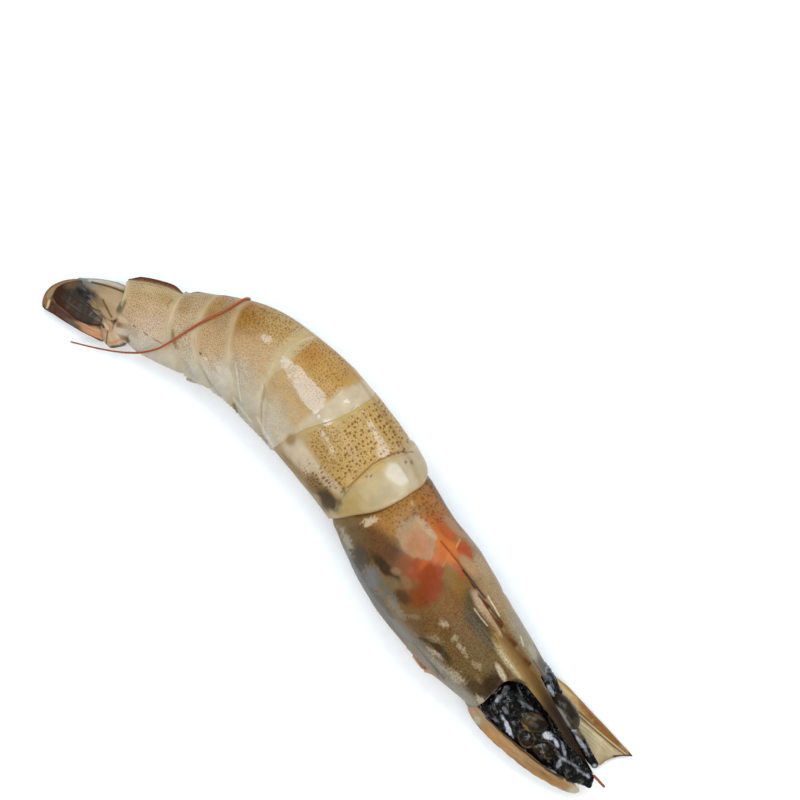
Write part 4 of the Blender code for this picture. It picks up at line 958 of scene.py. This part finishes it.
def tail_plate(kind, side, outline, centre, thickness, bow, fullness, node):
    """One plate of the fan, painted and ribbed in plan; the left one mirrors the right one."""
    points, out, face = leaf(outline, centre, thickness, bow, fullness)
    ground, rows = TAIL_PAINT[kind]
    x, y = points[..., 0], points[..., 1]
    wobble = 0.12 * swell(points, 2.4, 90) + 0.05 * swell(points, 0.9, 91)
    tint = paint(plain(ground, points), x, y, rows, wobble)
    relief = ribs(points, TAIL_RIBS[kind]) * (1 - out**4)
    if kind in ("exopod", "endopod"):       # fine pleats run out to the rim from the leaf's foot
        spread = np.arctan2(y - 4.2, -58.0 - x)
        relief = relief + 0.015 * np.sin(spread * 130) * smooth(0.3, 0.6, out) * (1 - out**6)
    relief = relief + 0.03 * swell(points, 2.4, 92)
    if side == "left":
        points, face = other_side(points), -face
    plate(f"{kind}_plate_{side}", points, face, relief, fan_finish, tint, "tail_fan", node)


fan_finish = wet_chitin("wet_tail_fan_chitin", 0.25, 0.2, (0.80, 0.75, 0.66))
tail_plate("telson", "middle", TELSON, (-69.0, 10.0, 4.2), 4.4, 0.0, 2.2, "telson")
for side in ("right", "left"):
    tail_plate("protopod", side, PROTOPOD, (-62.3, 4.3, 5.2), 2.6, 0.5, 3, f"uropod_protopod_{side}")
    tail_plate("exopod", side, EXOPOD, (-71.5, 3.4, 3.6), 0.5, 0.35, 8, f"uropod_exopod_{side}")
    tail_plate("endopod", side, ENDOPOD, (-71.0, 4.8, 4.7), 0.5, 0.35, 8, f"uropod_endopod_{side}")


# ---------------------------------------------------------------- head tissue
# The dark wet flesh that fills the front of the shield: lumpy muscle and gland under a thin black skin,
# with the stalks that carry the eyes and the thick jointed feet of the feelers growing out of it.


def rod(route, rings=60, sides=32, facing=(0.0, 0.0, 1.0)):
    """Rings of a rod of oval section along a smooth route, and each point's outward direction.

    A row of the route is a point in millimetres, then the half breadth and the half thickness there. Within
    one half thickness b of an end, at a distance d from it, the section shrinks by (1 - (1 - d/b)^2)^0.5.
    """
    route = np.asarray(route, float)
    reach = np.r_[0, np.cumsum(np.linalg.norm(np.diff(route[:, :3], axis=0), axis=1))]
    t = np.linspace(0, 1, rings)
    at = reach[-1] * (t - 0.12 * np.sin(2 * np.pi * t))
    line = np.stack([through(at, reach, route[:, k]) for k in range(5)], -1)
    heading = np.gradient(line[:, :3], axis=0)
    heading /= np.linalg.norm(heading, axis=1, keepdims=True)
    up_way = np.asarray(facing) - heading * (heading @ np.asarray(facing))[:, None]
    up_way /= np.linalg.norm(up_way, axis=1, keepdims=True)
    side_way = np.cross(heading, up_way)
    d = np.minimum(at, reach[-1] - at) / line[:, 4]
    shrink = np.sqrt(np.clip(1 - np.clip(1 - d, 0, 0.9997)**2, 0, 1))[:, None, None]
    turn = np.arange(sides) * 2 * np.pi / sides
    broad = side_way[:, None] * np.cos(turn)[:, None]
    thick = up_way[:, None] * np.sin(turn)[:, None]
    spread = shrink * (broad * line[:, None, 3:4] + thick * line[:, None, 4:5])
    away = broad / line[:, None, 3:4] + thick / line[:, None, 4:5]
    away /= np.linalg.norm(away, axis=-1, keepdims=True)
    return line[:, None, :3] + spread, away, at[:, None] + 0 * turn


def on_body(rows):
    """Rows of (along, right, back, half breadth, half thickness) as the rows that rod() takes."""
    rows = np.asarray(rows, float)
    return np.hstack([place(rows[:, 0], rows[:, 1], rows[:, 2]), rows[:, 3:]])


def wet_dark_tissue():
    """Wet black gland and muscle: soft, slippery flesh whose water film breaks up into many small lights.

    A web of fine folds about 0.5 mm apart lies over the lumps of the shape itself, and the film stands
    unbroken only in spots about 0.8 mm across.
    """
    finish, tree, shader, place_in = new_finish("wet_dark_head_tissue")
    tint = add_node(tree, "ShaderNodeAttribute", attribute_name="pigment")
    mottle = add_node(tree, "ShaderNodeTexNoise", {"Vector": place_in, "Scale": 900.0, "Detail": 5.0})
    colour = mottled(tree, tint, mottle, {"From Min": 0.35, "From Max": 0.7, "To Min": 0.5, "To Max": 1.3})
    folds = add_node(tree, "ShaderNodeTexNoise", {"Vector": place_in, "Scale": 1700.0, "Detail": 3.0,
                                                  "Distortion": 0.6})
    bump = add_node(tree, "ShaderNodeBump", {"Height": folds, "Strength": 0.5, "Distance": 0.0003})
    rough = add_node(tree, "ShaderNodeMapRange", {"Value": mottle, "To Min": 0.25, "To Max": 0.5})
    film = add_node(tree, "ShaderNodeTexNoise", {"Vector": place_in, "Scale": 800.0, "Detail": 2.0})
    water = add_node(tree, "ShaderNodeMapRange",
                     {"Value": film, "From Min": 0.50, "From Max": 0.60, "To Min": 0.15, "To Max": 1.0})
    feed(shader, {"Base Color": colour, "Normal": bump, "Coat Normal": bump, "Roughness": rough,
                  "Specular IOR Level": 0.02, "Coat Weight": water, "Coat Roughness": 0.05})
    return finish


HEAD_PAINT_AND_GLINTS = [  # in plan: pale grey ovals that are painted glints and reflections on the wet black flesh and on the pale membrane by the left eye, a few dark and pinkish patches, then seams round the eye's socket and the feeler's foot
    (54.5, -2.8, 2.2, 0.5, -22, 0.25, "b4b7bf", 1), (49.3, 2.4, 0.5, 1.2, 10, 0.5, "8f8f90", 0.8),
    (49.3, 0.4, 0.45, 0.9, 0, 0.5, "a9abae", 0.8), (51.6, 4.6, 0.9, 0.3, -20, 0.5, "77787a", 0.6),
    (54.6, 3.2, 1.8, 0.35, 8, 0.5, "8f9094", 0.45), (52, -0.6, 0.8, 0.4, -10, 0.5, "8f9094", 0.4),
    (62.2, 1.3, 1.4, 0.75, 12, 0.3, "c3c4c6", 0.95), (64.2, 1.5, 1.8, 0.3, -25, 0.4, "a8adb6", 0.7),
    (66.4, 1.4, 1.6, 0.3, -30, 0.4, "a4a9b2", 0.5), (69.2, 0.1, 2.6, 0.22, 12, 0.3, "8a8d92", 0.6),
    (72.8, 0.3, 1.4, 0.3, 5, 0.4, "9fa2a8", 0.5), (67.9, -1.6, 0.5, 0.9, 20, 0.3, "a5a8ae", 0.6),
    (74.2, 0.6, 0.6, 0.4, -30, 0.4, "a5a8ae", 0.6), (64.2, 6.3, 2.3, 0.45, -10, 0.4, "aba69c", 0.9),
    (61.5, 6.4, 2, 0.5, -8, 0.5, "a8a298", 0.8), (68.2, 4.9, 2.2, 0.4, -14, 0.5, "94979d", 0.85),
    (67, 6.1, 1.5, 0.6, -24, 0.5, "4f4230", 0.95), (73.9, 3, 0.5, 0.5, 0, 0.5, "a2a5ab", 0.7),
    (52.2, 11.4, 1.5, 0.9, -20, 0.5, "8d9096", 0.8), (54.2, 10.6, 0.9, 0.8, 0, 0.5, "5a5f66", 0.6),
    (56.4, 8.9, 1.2, 0.35, -20, 0.5, "b5bac2", 0.8), (46.6, -4.7, 1.3, 0.9, 0, 0.4, "b08c74", 0.9),
    ([(57.4, -1.5), (57.7, -0.9), (58.3, -0.5), (59.1, -0.4), (59.9, -0.6), (60.6, -1), (61, -1.6),
      (61.2, -2.3), (61, -2.9), (60.5, -3.4), (59.7, -3.7), (58.9, -3.6), (58.2, -3.3), (57.6, -2.8),
      (57.3, -2.1), (57.4, -1.5)], 0.26, "4a3820", 0.85),
    ([(61.6, -0.6), (63, 0.5), (65, 0.6), (66.2, -0.4)], 0.28, "4a3820", 0.8),
    ([(61.2, -2.4), (62.6, -3.2), (64.6, -3), (66, -2)], 0.28, "44341f", 0.7),
    ([(62.4, -1), (63.6, -1.8), (64.8, -2.4)], 0.22, "463722", 0.7),
]


def head_piece(name, route, node, ground="0e0c0b", lumps=0.18, rings=90, sides=72):
    """One lump of the head: a rod swollen by folds of two sizes, painted in plan with its colours and painted
    glints.
    """
    points, away, at = rod(route, rings, sides)
    folds = 0.9 * swell(points, 2.4, 101) + 0.6 * swell(points, 1.2, 102) + 0.18 * swell(points, 0.6, 103)
    ends = np.minimum(1.0, np.minimum(at, at.max() - at) / 0.8)
    tint = plain(ground, points)
    painted = paint(tint, *seen(points), HEAD_PAINT_AND_GLINTS, 0.25 * swell(points, 1.2, 104))
    tint = layer(tint, painted, smooth(-0.1, 0.4, away[..., 2]))
    points = points + (lumps * folds * ends)[..., None] * away
    skin_piece(name, points, tissue_finish, tint, "head_tissue", node)


tissue_finish = wet_dark_tissue()
head_piece("head_flesh", under_view([
    (45, 2.3, 9.6, 5.4, 5.4), (48, 1.9, 8.9, 5.9, 5.9), (52, 1.2, 8.1, 5.7, 5.5), (56, 0.7, 7.3, 5.4, 4.9),
    (60, 0.1, 6.5, 4.7, 4.3), (64, -0.3, 5.9, 4, 3.4), (68, -0.6, 5.6, 3.1, 2.2), (72, -0.6, 5.4, 2, 1.3),
]), "head_core", lumps=0.26, rings=190, sides=190)
head_piece("eyestalk_right", under_view([
    (50, 2.6, 12, 1.2, 1.1), (53.5, 2.3, 11.8, 1.5, 1.3), (57, 1.8, 10.9, 1.4, 1.2),
]), "head_core")
head_piece("eyestalk_left", under_view([
    (48.5, 11.2, 8.8, 1.4, 1.4), (52, 10.7, 9.2, 1.7, 1.6), (55.5, 9.8, 9.2, 1.7, 1.6),
    (59.5, 8.6, 8.8, 1.3, 1.2),
]), "head_core")
head_piece("feeler_foot_right", under_view([
    (57.2, -2, 9.4, 1, 0.9), (59.3, -2.05, 9.7, 1.9, 1.4), (61.3, -1.9, 9.2, 1.3, 1.1),
    (63.6, -1.3, 8.9, 2, 1.4), (66.2, -1.2, 8.2, 1.2, 1),
]), "antenna_base_right", lumps=0.07, ground="1e150c")
head_piece("feeler_foot_left", on_body([
    (50.4, -6.4, -0.6, 0.9, 0.9), (54, -5.9, -0.4, 1.2, 1.2), (58, -5.2, -0.8, 1.2, 1.1),
    (62, -4.4, -1.4, 0.8, 0.7),
]), "antenna_base_left", lumps=0.08)
head_piece("small_feeler_right", under_view([
    (60.6, 1.3, 9.9, 1, 0.8), (64.5, 0.8, 9, 1.6, 1.2), (68, -0.1, 7.8, 2.9, 1.7),
    (71.5, -0.25, 7, 2.8, 1.6), (74.3, -0.2, 6.2, 1.8, 1.1), (76.2, -1, 6, 0.45, 0.4),
]), "antennule_right", lumps=0.2, rings=150)
head_piece("small_feeler_left", under_view([
    (60, 6.4, 9.4, 0.8, 0.8), (64.5, 6, 8.8, 1.05, 0.9), (68.5, 5, 7.9, 1.05, 0.9), (71.5, 3.8, 7, 1, 0.9),
    (74.4, 3.1, 6.4, 0.75, 0.75),
]), "antennule_left", lumps=0.08, rings=120)


# ---------------------------------------------------------------- eyes
# Two compound eyes: a bulging, very glossy clear cornea over thousands of tiny dark lenses, brown when raw,
# each on the end of its short stalk with a golden seam where the two meet.


def compound_eye():
    """Cornea over six-sided lenses 0.09 mm across, brown to black, wet."""
    finish, tree, shader, place_in = new_finish("wet_compound_eye")
    tint = add_node(tree, "ShaderNodeAttribute", attribute_name="pigment")
    lenses = add_node(tree, "ShaderNodeTexVoronoi", {"Vector": place_in, "Scale": 11000.0})
    colour = mottled(tree, tint, lenses, {"From Max": 0.8, "To Min": 1.15, "To Max": 0.7})
    bump = add_node(tree, "ShaderNodeBump", {"Height": lenses, "Strength": 0.25, "Distance": 0.00002},
                    invert=True)
    feed(shader, {"Base Color": colour, "Normal": bump, "Roughness": 0.35,
                  "Specular IOR Level": 0.04, "Coat Weight": 0.22, "Coat Roughness": 0.06})
    return finish


def eye(side, centre, radii, slant, ground, patches):
    """One eye as a slanted ellipsoid with a few faint dents, painted in plan."""
    tall = np.linspace(0.02, np.pi - 0.02, 70)[:, None]
    turn = np.linspace(0, 2 * np.pi, 97)[:-1]
    ball = np.stack([np.cos(tall) + 0 * turn, np.sin(tall) * np.cos(turn), np.sin(tall) * np.sin(turn)], -1)
    c, s = np.cos(np.radians(slant)), np.sin(np.radians(slant))
    points = ball * radii * (1 + 0.02 * swell(ball * radii, 2.2, 110))[..., None]
    points = points @ np.array([[c, s, 0], [-s, c, 0], [0, 0, 1.0]]) + centre
    x, y = points[..., 0], points[..., 1]
    tint = paint(plain(ground, points), x, y, patches, 0.2 * swell(points, 1.6, 111))
    skin_piece(f"cornea_{side}", under_view(points), cornea_finish, tint, "eye", f"eye_{side}")


cornea_finish = compound_eye()
eye("right", (57.9, 1.4, 10.9), (3.4, 2.2, 2.1), 12, "2a1f12", [
    (56.8, 1.2, 1.6, 1.3, 20, 0.6, "43331c", 0.9), (59.6, 1.9, 1.4, 0.9, 20, 0.6, "18120c", 0.9),
    # the pale oval at (55.2, 0.9) is a painted glint
    (57.8, -0.6, 2.8, 0.35, -3, 0.5, "7a5c30", 0.9), (55.2, 0.9, 0.5, 0.8, 0, 0.5, "8e8a82", 0.6),
    (58, 3, 1.6, 0.4, 15, 0.5, "5a4c34", 0.7)])
# the pale ovals at (60.6, 6.8) and (62.6, 6.2) along the left eye's lower edge are painted glints
eye("left", (61.6, 7.5, 9.2), (4.3, 2.45, 2.4), -14, "221b12", [
    (60.4, 8.4, 2.4, 1.2, 0, 0.6, "2d2317", 0.9), (60.6, 6.8, 1.8, 0.5, -8, 0.6, "9a958c", 0.8),
    (62.2, 9.9, 3.4, 0.4, -12, 0.5, "57442a", 0.8), (65, 7, 1, 1.2, 30, 0.5, "43382a", 0.7),
    (62.6, 6.2, 3, 0.4, -14, 0.5, "a39e95", 0.8)])


# ---------------------------------------------------------------- antennal scales
# The pair of blades beside the head that the prawn steers with: a stiff golden rib of thick chitin down the
# outer edge, and inside it a thin cream web with a fringed, hollowed front.

SCALE_LEFT = [(54.2, 9.4, 2.5), (54.6, 11.3, 2.5), (57, 11.9, 2.5), (61, 11.7, 2.4), (66, 11.2, 2.1),
              (71, 10.75, 1.8), (75, 10.3, 1.6), (77.6, 10.05, 1.4), (78.5, 9.85, 1.35), (78, 9.4, 1.35),
              (76.6, 8.2, 1.3), (75.6, 6.8, 1.25), (74.9, 5.4, 1.2), (74.5, 3.9, 1.2), (72.6, 3.2, 1.2),
              (67, 3.3, 1.4), (61, 3.9, 1.7), (56.6, 5.6, 2.1)]
SCALE_RIGHT = [(45.5, -5.1, 7.8), (47, -6.1, 6.6), (50, -6.7, 5.8), (53, -6.8, 5.2), (57, -6.8, 4.4),
               (62, -6.65, 3.6), (67, -6.15, 3.1), (71, -5.35, 2.9), (73.2, -4.75, 3),
               (74.6, -3.95, 3.8), (74.9, -3.05, 5), (73.6, -2.65, 6.6), (69, -3.65, 8.3),
               (62, -4.15, 9.5), (55, -4.4, 10.3), (50, -4.25, 10.6), (46.6, -3.95, 9.6)]
scale_finish = wet_chitin("wet_scale_chitin", 0.35, 0.16, (0.87, 0.82, 0.68))

points, out, face = leaf(SCALE_LEFT, (66.0, 7.4, 2.0), 0.5, 0.5, sides=360, rings=70)
x, y = points[..., 0], points[..., 1]
rib_edge = through(x, np.array([54.0, 60.0, 70.0, 79.0]), np.array([8.9, 9.2, 9.15, 9.3]))
on_rib = smooth(-0.15, 0.35, y - rib_edge)
relief = 0.75 * on_rib * np.sqrt(np.clip(1 - out**6, 0, 1)) + 0.05 * swell(points, 1.8, 120)
relief += 0.14 * np.exp(-((y - rib_edge + 0.55) / 0.22)**2) * (1 - out**8)
relief += 0.03 * np.sin(y * 9.0 + 0.5 * np.sin(x * 0.7)) * (1 - on_rib) * smooth(56, 62, x)
wobble = 0.15 * swell(points, 2.6, 121) + 0.06 * swell(points, 1.0, 122)
tint = paint(layer(plain("b8a88a", points), "ba9a66", on_rib), x, y, [
    (68, 6, 5, 2.2, 0, 0.6, "bfb193", 1), (74.5, 6.6, 1.6, 2.6, 20, 0.5, "a8977a", 0.9),
    (66, 8.2, 7, 0.5, 0, 0.5, "cabd9e", 0.8), (59, 10.4, 4.6, 1, -3, 0.6, "d0b27a", 0.95),
    (70, 10.2, 7.5, 1, -4, 0.5, "825726", 1), (66, 11.2, 6, 0.4, -5, 0.5, "8d6230", 0.8),
    (74.3, 10.2, 0.8, 0.5, 0, 0.5, "7c4a22", 0.8), (58, 11.6, 4, 0.3, -2, 0.5, "a87f45", 0.8),
    (54.8, 10.6, 0.6, 1.2, 0, 0.5, "8d7a5c", 0.8),
    ([(62, 8.75), (68, 8.7), (74, 8.75), (77, 9)], 0.26, "6e5230", 0.95),
    ([(63, 9.15), (70, 9.1), (77, 9.3)], 0.22, "d6c9a8", 0.9),
    ([(64, 9.5), (70, 9.45), (77, 9.5)], 0.2, "7c5a30", 0.6),
    ([(75.6, 7.2), (76.6, 8.2), (78, 9.4), (78.6, 9.85), (77.6, 10)], 0.5, "211a14", 0.95),
    ([(74.4, 3.6), (74.8, 5.4), (75.6, 7)], 0.3, "8d7a58", 0.8),
    ([(58.0, 11.95), (66.0, 11.35), (72.0, 10.75), (78.4, 10.1)], 0.3, "8a5c2e", 0.85)], wobble)
plate("scale_blade_left", points, face, relief, scale_finish, tint, "antennal_scale", "antennal_scale_left")

tilt = np.array([0.02, -0.93, 0.36])
tilt /= np.linalg.norm(tilt)
points, out, face = leaf(SCALE_RIGHT, (61.0, -5.25, 6.9), 0.6, 0.45, facing=tilt, sides=360, rings=60)
x, y = points[..., 0], points[..., 1]
relief = 0.5 * np.exp(-((points[..., 2] - 5.2 + 0.06 * (x - 56)) / 1.6)**2) * (1 - out**6)
relief += 0.05 * swell(points, 1.8, 123)
wobble = 0.15 * swell(points, 2.6, 124) + 0.06 * swell(points, 1.0, 125)
tint = paint(plain("a27a45", points), x, y, [
    (56, -5.9, 6, 0.7, 0, 0.6, "b48b5e", 0.9), (62, -6.8, 9, 0.5, 3, 0.5, "87602c", 0.8),
    (65, -5.3, 6, 0.4, 4, 0.5, "8d6830", 0.7), (48.6, -5.6, 2.2, 1.6, 0, 0.5, "9c8a6e", 0.9),
    (46.6, -5.2, 1.2, 0.9, 0, 0.35, "ad8a74", 0.95), (49, -6, 0.9, 0.7, -40, 0.4, "b5ab9e", 0.85),
    (74.2, -3.9, 1.6, 1.2, 20, 0.4, "b3ab98", 1), (72.6, -5, 1, 0.7, 20, 0.5, "85693e", 0.8),
    (58, -6.4, 1.6, 0.5, 0, 0.5, "b0805a", 0.7),
    ([(50, -4.3), (56, -4.5), (62, -4.4), (67, -4), (70.5, -3.5)], 0.45, "35281a", 0.95),
    ([(49.5, -6.5), (53.0, -7.1), (60.0, -7.15), (68.0, -6.5), (72.6, -5.4)], 0.25, "6e4c22", 0.8)], wobble)
plate("scale_blade_right", points, face, relief, scale_finish, tint, "antennal_scale", "antennal_scale_right",
      facing=tilt)


# ---------------------------------------------------------------- legs and mouth limbs
# Five pairs of slim walking legs and the long pair of mouth limbs, all jointed tubes of thin clear chitin
# over grey muscle. Folded back under the thorax; the left ones lie between the body and the board.


def limb_route(rows, right=1.0, size=1.0):
    """A route for rod() along the belly.

    A row is a place along the body, the place whose half height counts and the share of it that the point
    lies towards the belly, how much lower still, how far to the right, and the half breadth and half
    thickness there.
    """
    return on_body([(x, right * across, -share * float(body(of, 2)) - lower, broad * size, thick * size)
                    for x, of, share, lower, across, broad, thick in rows])


def jointed(name, route, joints, node, ground, stripe, tip):
    """A limb of tubes that pinch and swell at each joint, striped along its length, darker at its tip."""
    sides = 36
    points, away, at = rod(route, 150, sides)
    share = at / at.max()
    around = np.arange(sides) * 2 * np.pi / sides + 0 * at
    size = np.asarray(route)[:, 4].mean()
    grow = 0 * share
    mark = 0 * share
    for joint in joints:
        off = (share - joint) * at.max()
        grow = grow + size * (0.22 * np.exp(-((off + 0.55) / 0.45)**2) - 0.30 * np.exp(-(off / 0.22)**2))
        mark = np.maximum(mark, np.exp(-(off / 0.35)**2))
    grow = grow * (1 - smooth(0.93, 1.0, share)) + 0.03 * swell(points, 0.9, 131)
    band = 0.5 + 0.5 * np.cos(2 * around + 1.2 + 0.4 * swell(points, 3.0, 132))
    tint = layer(linear(ground), stripe, smooth(0.55, 0.9, band))
    tint = layer(tint, "5b3a24", 0.55 * mark)
    tint = layer(tint, tip, smooth(0.72, 0.86, share))
    tint = layer(tint, "2a1c14", smooth(0.95, 0.99, share))
    skin_piece(name, points + grow[..., None] * away, leg_finish, tint, "leg", node)


leg_finish = wet_chitin("wet_leg_chitin", 0.9, 0.08, (0.9, 0.88, 0.84))
FIRST_HIP, HIP_SPACING = 36.0, 5.4
LEG_JOINTS = (0.12, 0.46, 0.70, 0.86)       # shares of the leg's length
LEG_SHAPE = {  # 0 at the hip, 1 at the knee or 2 at the foot, how far ahead of it, then as in limb_route()
    "right": [(0, 1, 0.80, 0.4, 2.2, 1, 1), (0, 0, 0.84, 1, 2.8, 0.9, 0.85),
              (1, 0, 0.95, 0.6, 3.6, 0.75, 0.7), (2, 2.5, 0.92, 0.6, 4.2, 0.5, 0.5),
              (2, 0, 0.91, 0.5, 4.5, 0.3, 0.3)],
    "left": [(0, 1, 0.80, 0.4, -1.4, 0.9, 0.9), (0, 0, 0.84, 0.9, -1.6, 0.8, 0.75),
             (1, 0, 1, 0.7, 0.4, 0.7, 0.65), (2, 2.5, 1, 1.9, 2.2, 0.45, 0.45),
             (2, 0, 1, 2.2, 2.8, 0.3, 0.3)],
}
for i in range(5):
    for side, rows in LEG_SHAPE.items():
        spots = [FIRST_HIP - HIP_SPACING * i - reach * (1 - 0.07 * i) for reach in (0.0, 5.5, 11.5)]
        route = limb_route([(spots[k] + ahead, spots[k], *rest) for k, ahead, *rest in rows])
        ground, stripe = "6b6259", "b9b2a6"
        if (side, i) == ("right", 0):       # shows as a reddish strip along the shield's lower edge
            route = under_view([(40, -3.3, 6.2, 0.9, 0.8), (37.5, -4.1, 6.6, 0.85, 0.8),
                                (35.2, -4.4, 6.8, 0.8, 0.8), (33.8, -4.75, 6.6, 0.85, 0.8),
                                (29, -3.95, 6, 0.6, 0.6), (25.5, -3.3, 5.2, 0.35, 0.35)])
            ground, stripe = "94623f", "b08a68"
        jointed(f"walking_leg_{side}_{i + 1}", route, LEG_JOINTS, f"leg_{side}_{i + 1}",
                ground, stripe, "a98a66")
for side, offset in (("right", 3.0), ("left", 0.2)):
    route = on_body([(40.5, offset, -10.4, 0.8, 0.8), (44.0, offset, -10.5, 1.0, 0.9),
                     (48.0, offset + 0.1, -9.9, 0.9, 0.8),
                     (55.0, offset * 0.9 + 0.2, -8.6, 0.75, 0.7),
                     (61.0, offset * 0.8 + 0.2, -7.2, 0.35, 0.35)])
    jointed(f"mouth_limb_{side}", route, (0.18, 0.45, 0.68, 0.85), f"maxilliped_{side}",
            "6b5c4c", "b0a690", "8a6a48")


# ---------------------------------------------------------------- swimmerets
# Five pairs of flat paddles under the abdomen, each a soft leaf of clear skin with reddish stripes and a
# comb of fine hairs round its free edge, folded forwards along the belly.

paddle_finish = wet_chitin("wet_swimmeret_skin", 0.7, 0.12, (0.75, 0.72, 0.68))
PADDLE_PLACES = (-9.5, -22.5, -33.5, -41, -48)
PADDLE_SHAPE = [  # how far ahead, then as in limb_route(), for a paddle under a body 10 mm in half width
    (-0.8, 0.84, 0.7, 1, 1.1, 0.8), (1.4, 0.88, 0.5, 1.1, 1.6, 0.6), (3.6, 0.90, 0.3, 1.15, 1.5, 0.42),
    (5.6, 0.92, 0.2, 1.1, 0.6, 0.3)]
HAIRS = 16.0        # hairs of the comb in 2 pi millimetres

for i, x in enumerate(PADDLE_PLACES):
    size = float(body(x, 3)) / 10.0
    for side, right in (("right", 2.5), ("left", -2.5)):
        rows = [(x + ahead * size, x, *rest) for ahead, *rest in PADDLE_SHAPE]
        points, away, at = rod(limb_route(rows, right * size, size), 120, 64, facing=(0.0, -1.0, 0.0))
        share = at / at.max()
        turn = np.arange(64) * 2 * np.pi / 64 + 0 * at
        comb = np.abs(np.cos(turn))**8 * smooth(0.30, 0.45, share)
        grow = 0.10 * comb * np.sin(at * HAIRS) + 0.05 * np.sin(4 * turn) * smooth(0.2, 0.4, share)
        grow = grow * (1 - smooth(0.94, 1.0, share))
        stripes = np.sin(6 * turn + 0.5 * swell(points, 2.0, 140 + i))
        stripes = smooth(0.3, 0.9, stripes) * smooth(0.1, 0.3, share)
        tint = layer(linear("b3aa9c"), "8d5a40", 0.5 * stripes)
        tint = layer(tint, "5a3a28", 0.6 * comb * smooth(-0.2, 0.5, np.sin(at * HAIRS)))
        skin_piece(f"paddle_{side}_{i + 1}", points + grow[..., None] * away, paddle_finish, tint,
                   "swimmeret", f"swimmeret_{side}_{i + 1}")


# ---------------------------------------------------------------- feelers
# One long feeler is left: a whip of hundreds of short horny rings, bright orange red. It runs back under the
# body, comes up round the back and crosses the tail. Of the other feeler only a stub shows beside the beak.

# the feeler's middle: points in plan and height at first and at last, and places over the skin between them
FEELER_UNDER = [(51, 8, 2), (46, 10.6, 0.6), (36, 13.2, 0.4), (22, 17.2, 0.4), (6, 22.2, 0.4),
                (-10, 27, 0.4), (-26, 28.8, 0.4), (-36, 28.6, 0.5)]
FEELER_OVER = [  # along the body, turn, and how far the feeler's middle is off the skin
    (-41.2, -35, 0.45), (-41.4, -12, 0.30), (-41.9, 6, 0.40), (-44, 39, 0.70), (-48, 66, 0.75),
    (-51, 87, 0.75)]
FEELER_BEYOND = [(-51.75, 11.6, 12.5), (-52.7, 8.8, 11.8), (-54.5, 6, 10), (-57, 3.6, 7.4),
                 (-60, 1.5, 4.6), (-64, -0.8, 1.8), (-67.7, -2.7, 0.5)]
RING_LENGTH = 0.42      # as long as two or three real rings, so that they can be seen


def horny_rings():
    """Horn of the feeler: smooth and wet, orange red, a little darker in the grooves between its rings."""
    finish, tree, shader, place_in = new_finish("wet_feeler_horn")
    tint = add_node(tree, "ShaderNodeAttribute", attribute_name="pigment")
    mottle = add_node(tree, "ShaderNodeTexNoise", {"Vector": place_in, "Scale": 700.0, "Detail": 3.0})
    colour = mottled(tree, tint, mottle, {"To Min": 0.8, "To Max": 1.2})
    bump = add_node(tree, "ShaderNodeBump", {"Height": mottle, "Strength": 0.2, "Distance": 0.00005})
    feed(shader, {"Base Color": colour, "Normal": bump, "Roughness": 0.4,
                  "Specular IOR Level": 0.15, "Coat Weight": 0.15, "Coat Roughness": 0.15})
    return finish


def feeler(name, knots, radii, rings, node, deep, pale):
    """A whip through the knots, in millimetres, thinner to its end, whose surface steps out at every ring."""
    reach = np.r_[0, np.cumsum(np.linalg.norm(np.diff(knots, axis=0), axis=1))]
    radius = np.interp(reach, reach[-1] * np.linspace(0, 1, len(radii)), radii)
    points, away, at = rod(np.column_stack([knots, radius, radius]), rings, 12, facing=(0.3, 0.2, 0.93))
    stepped = (at / RING_LENGTH) % 1.0
    grow = 0.09 * radii[0] * (np.sin(np.pi * stepped)**0.5 - 0.5)
    tint = layer(linear(deep), pale, smooth(0.1, 0.5, stepped))
    skin_piece(name, points + grow[..., None] * away, horn_finish, tint, "antenna", node)


horn_finish = horny_rings()
over = np.array(FEELER_OVER)
over = skin(over[:, 0], np.radians(over[:, 1]), over[:, 2])
knots = np.vstack([np.array(FEELER_UNDER) + [0, CENTRE_Y, 0], over, under_view(FEELER_BEYOND)])
feeler("long_feeler", knots, [0.31, 0.31, 0.30, 0.28, 0.15], 2600, "antenna_long", "712c0c", "9c481e")
stub = under_view([(74.8, 1.4, 6.3), (76.2, 1.3, 6.3), (77.4, 1.18, 6.25), (78.4, 1.1, 6.1)])
feeler("feeler_stub", stub, [0.3, 0.29], 60, "antenna_stub", "6e300f", "8a451c")
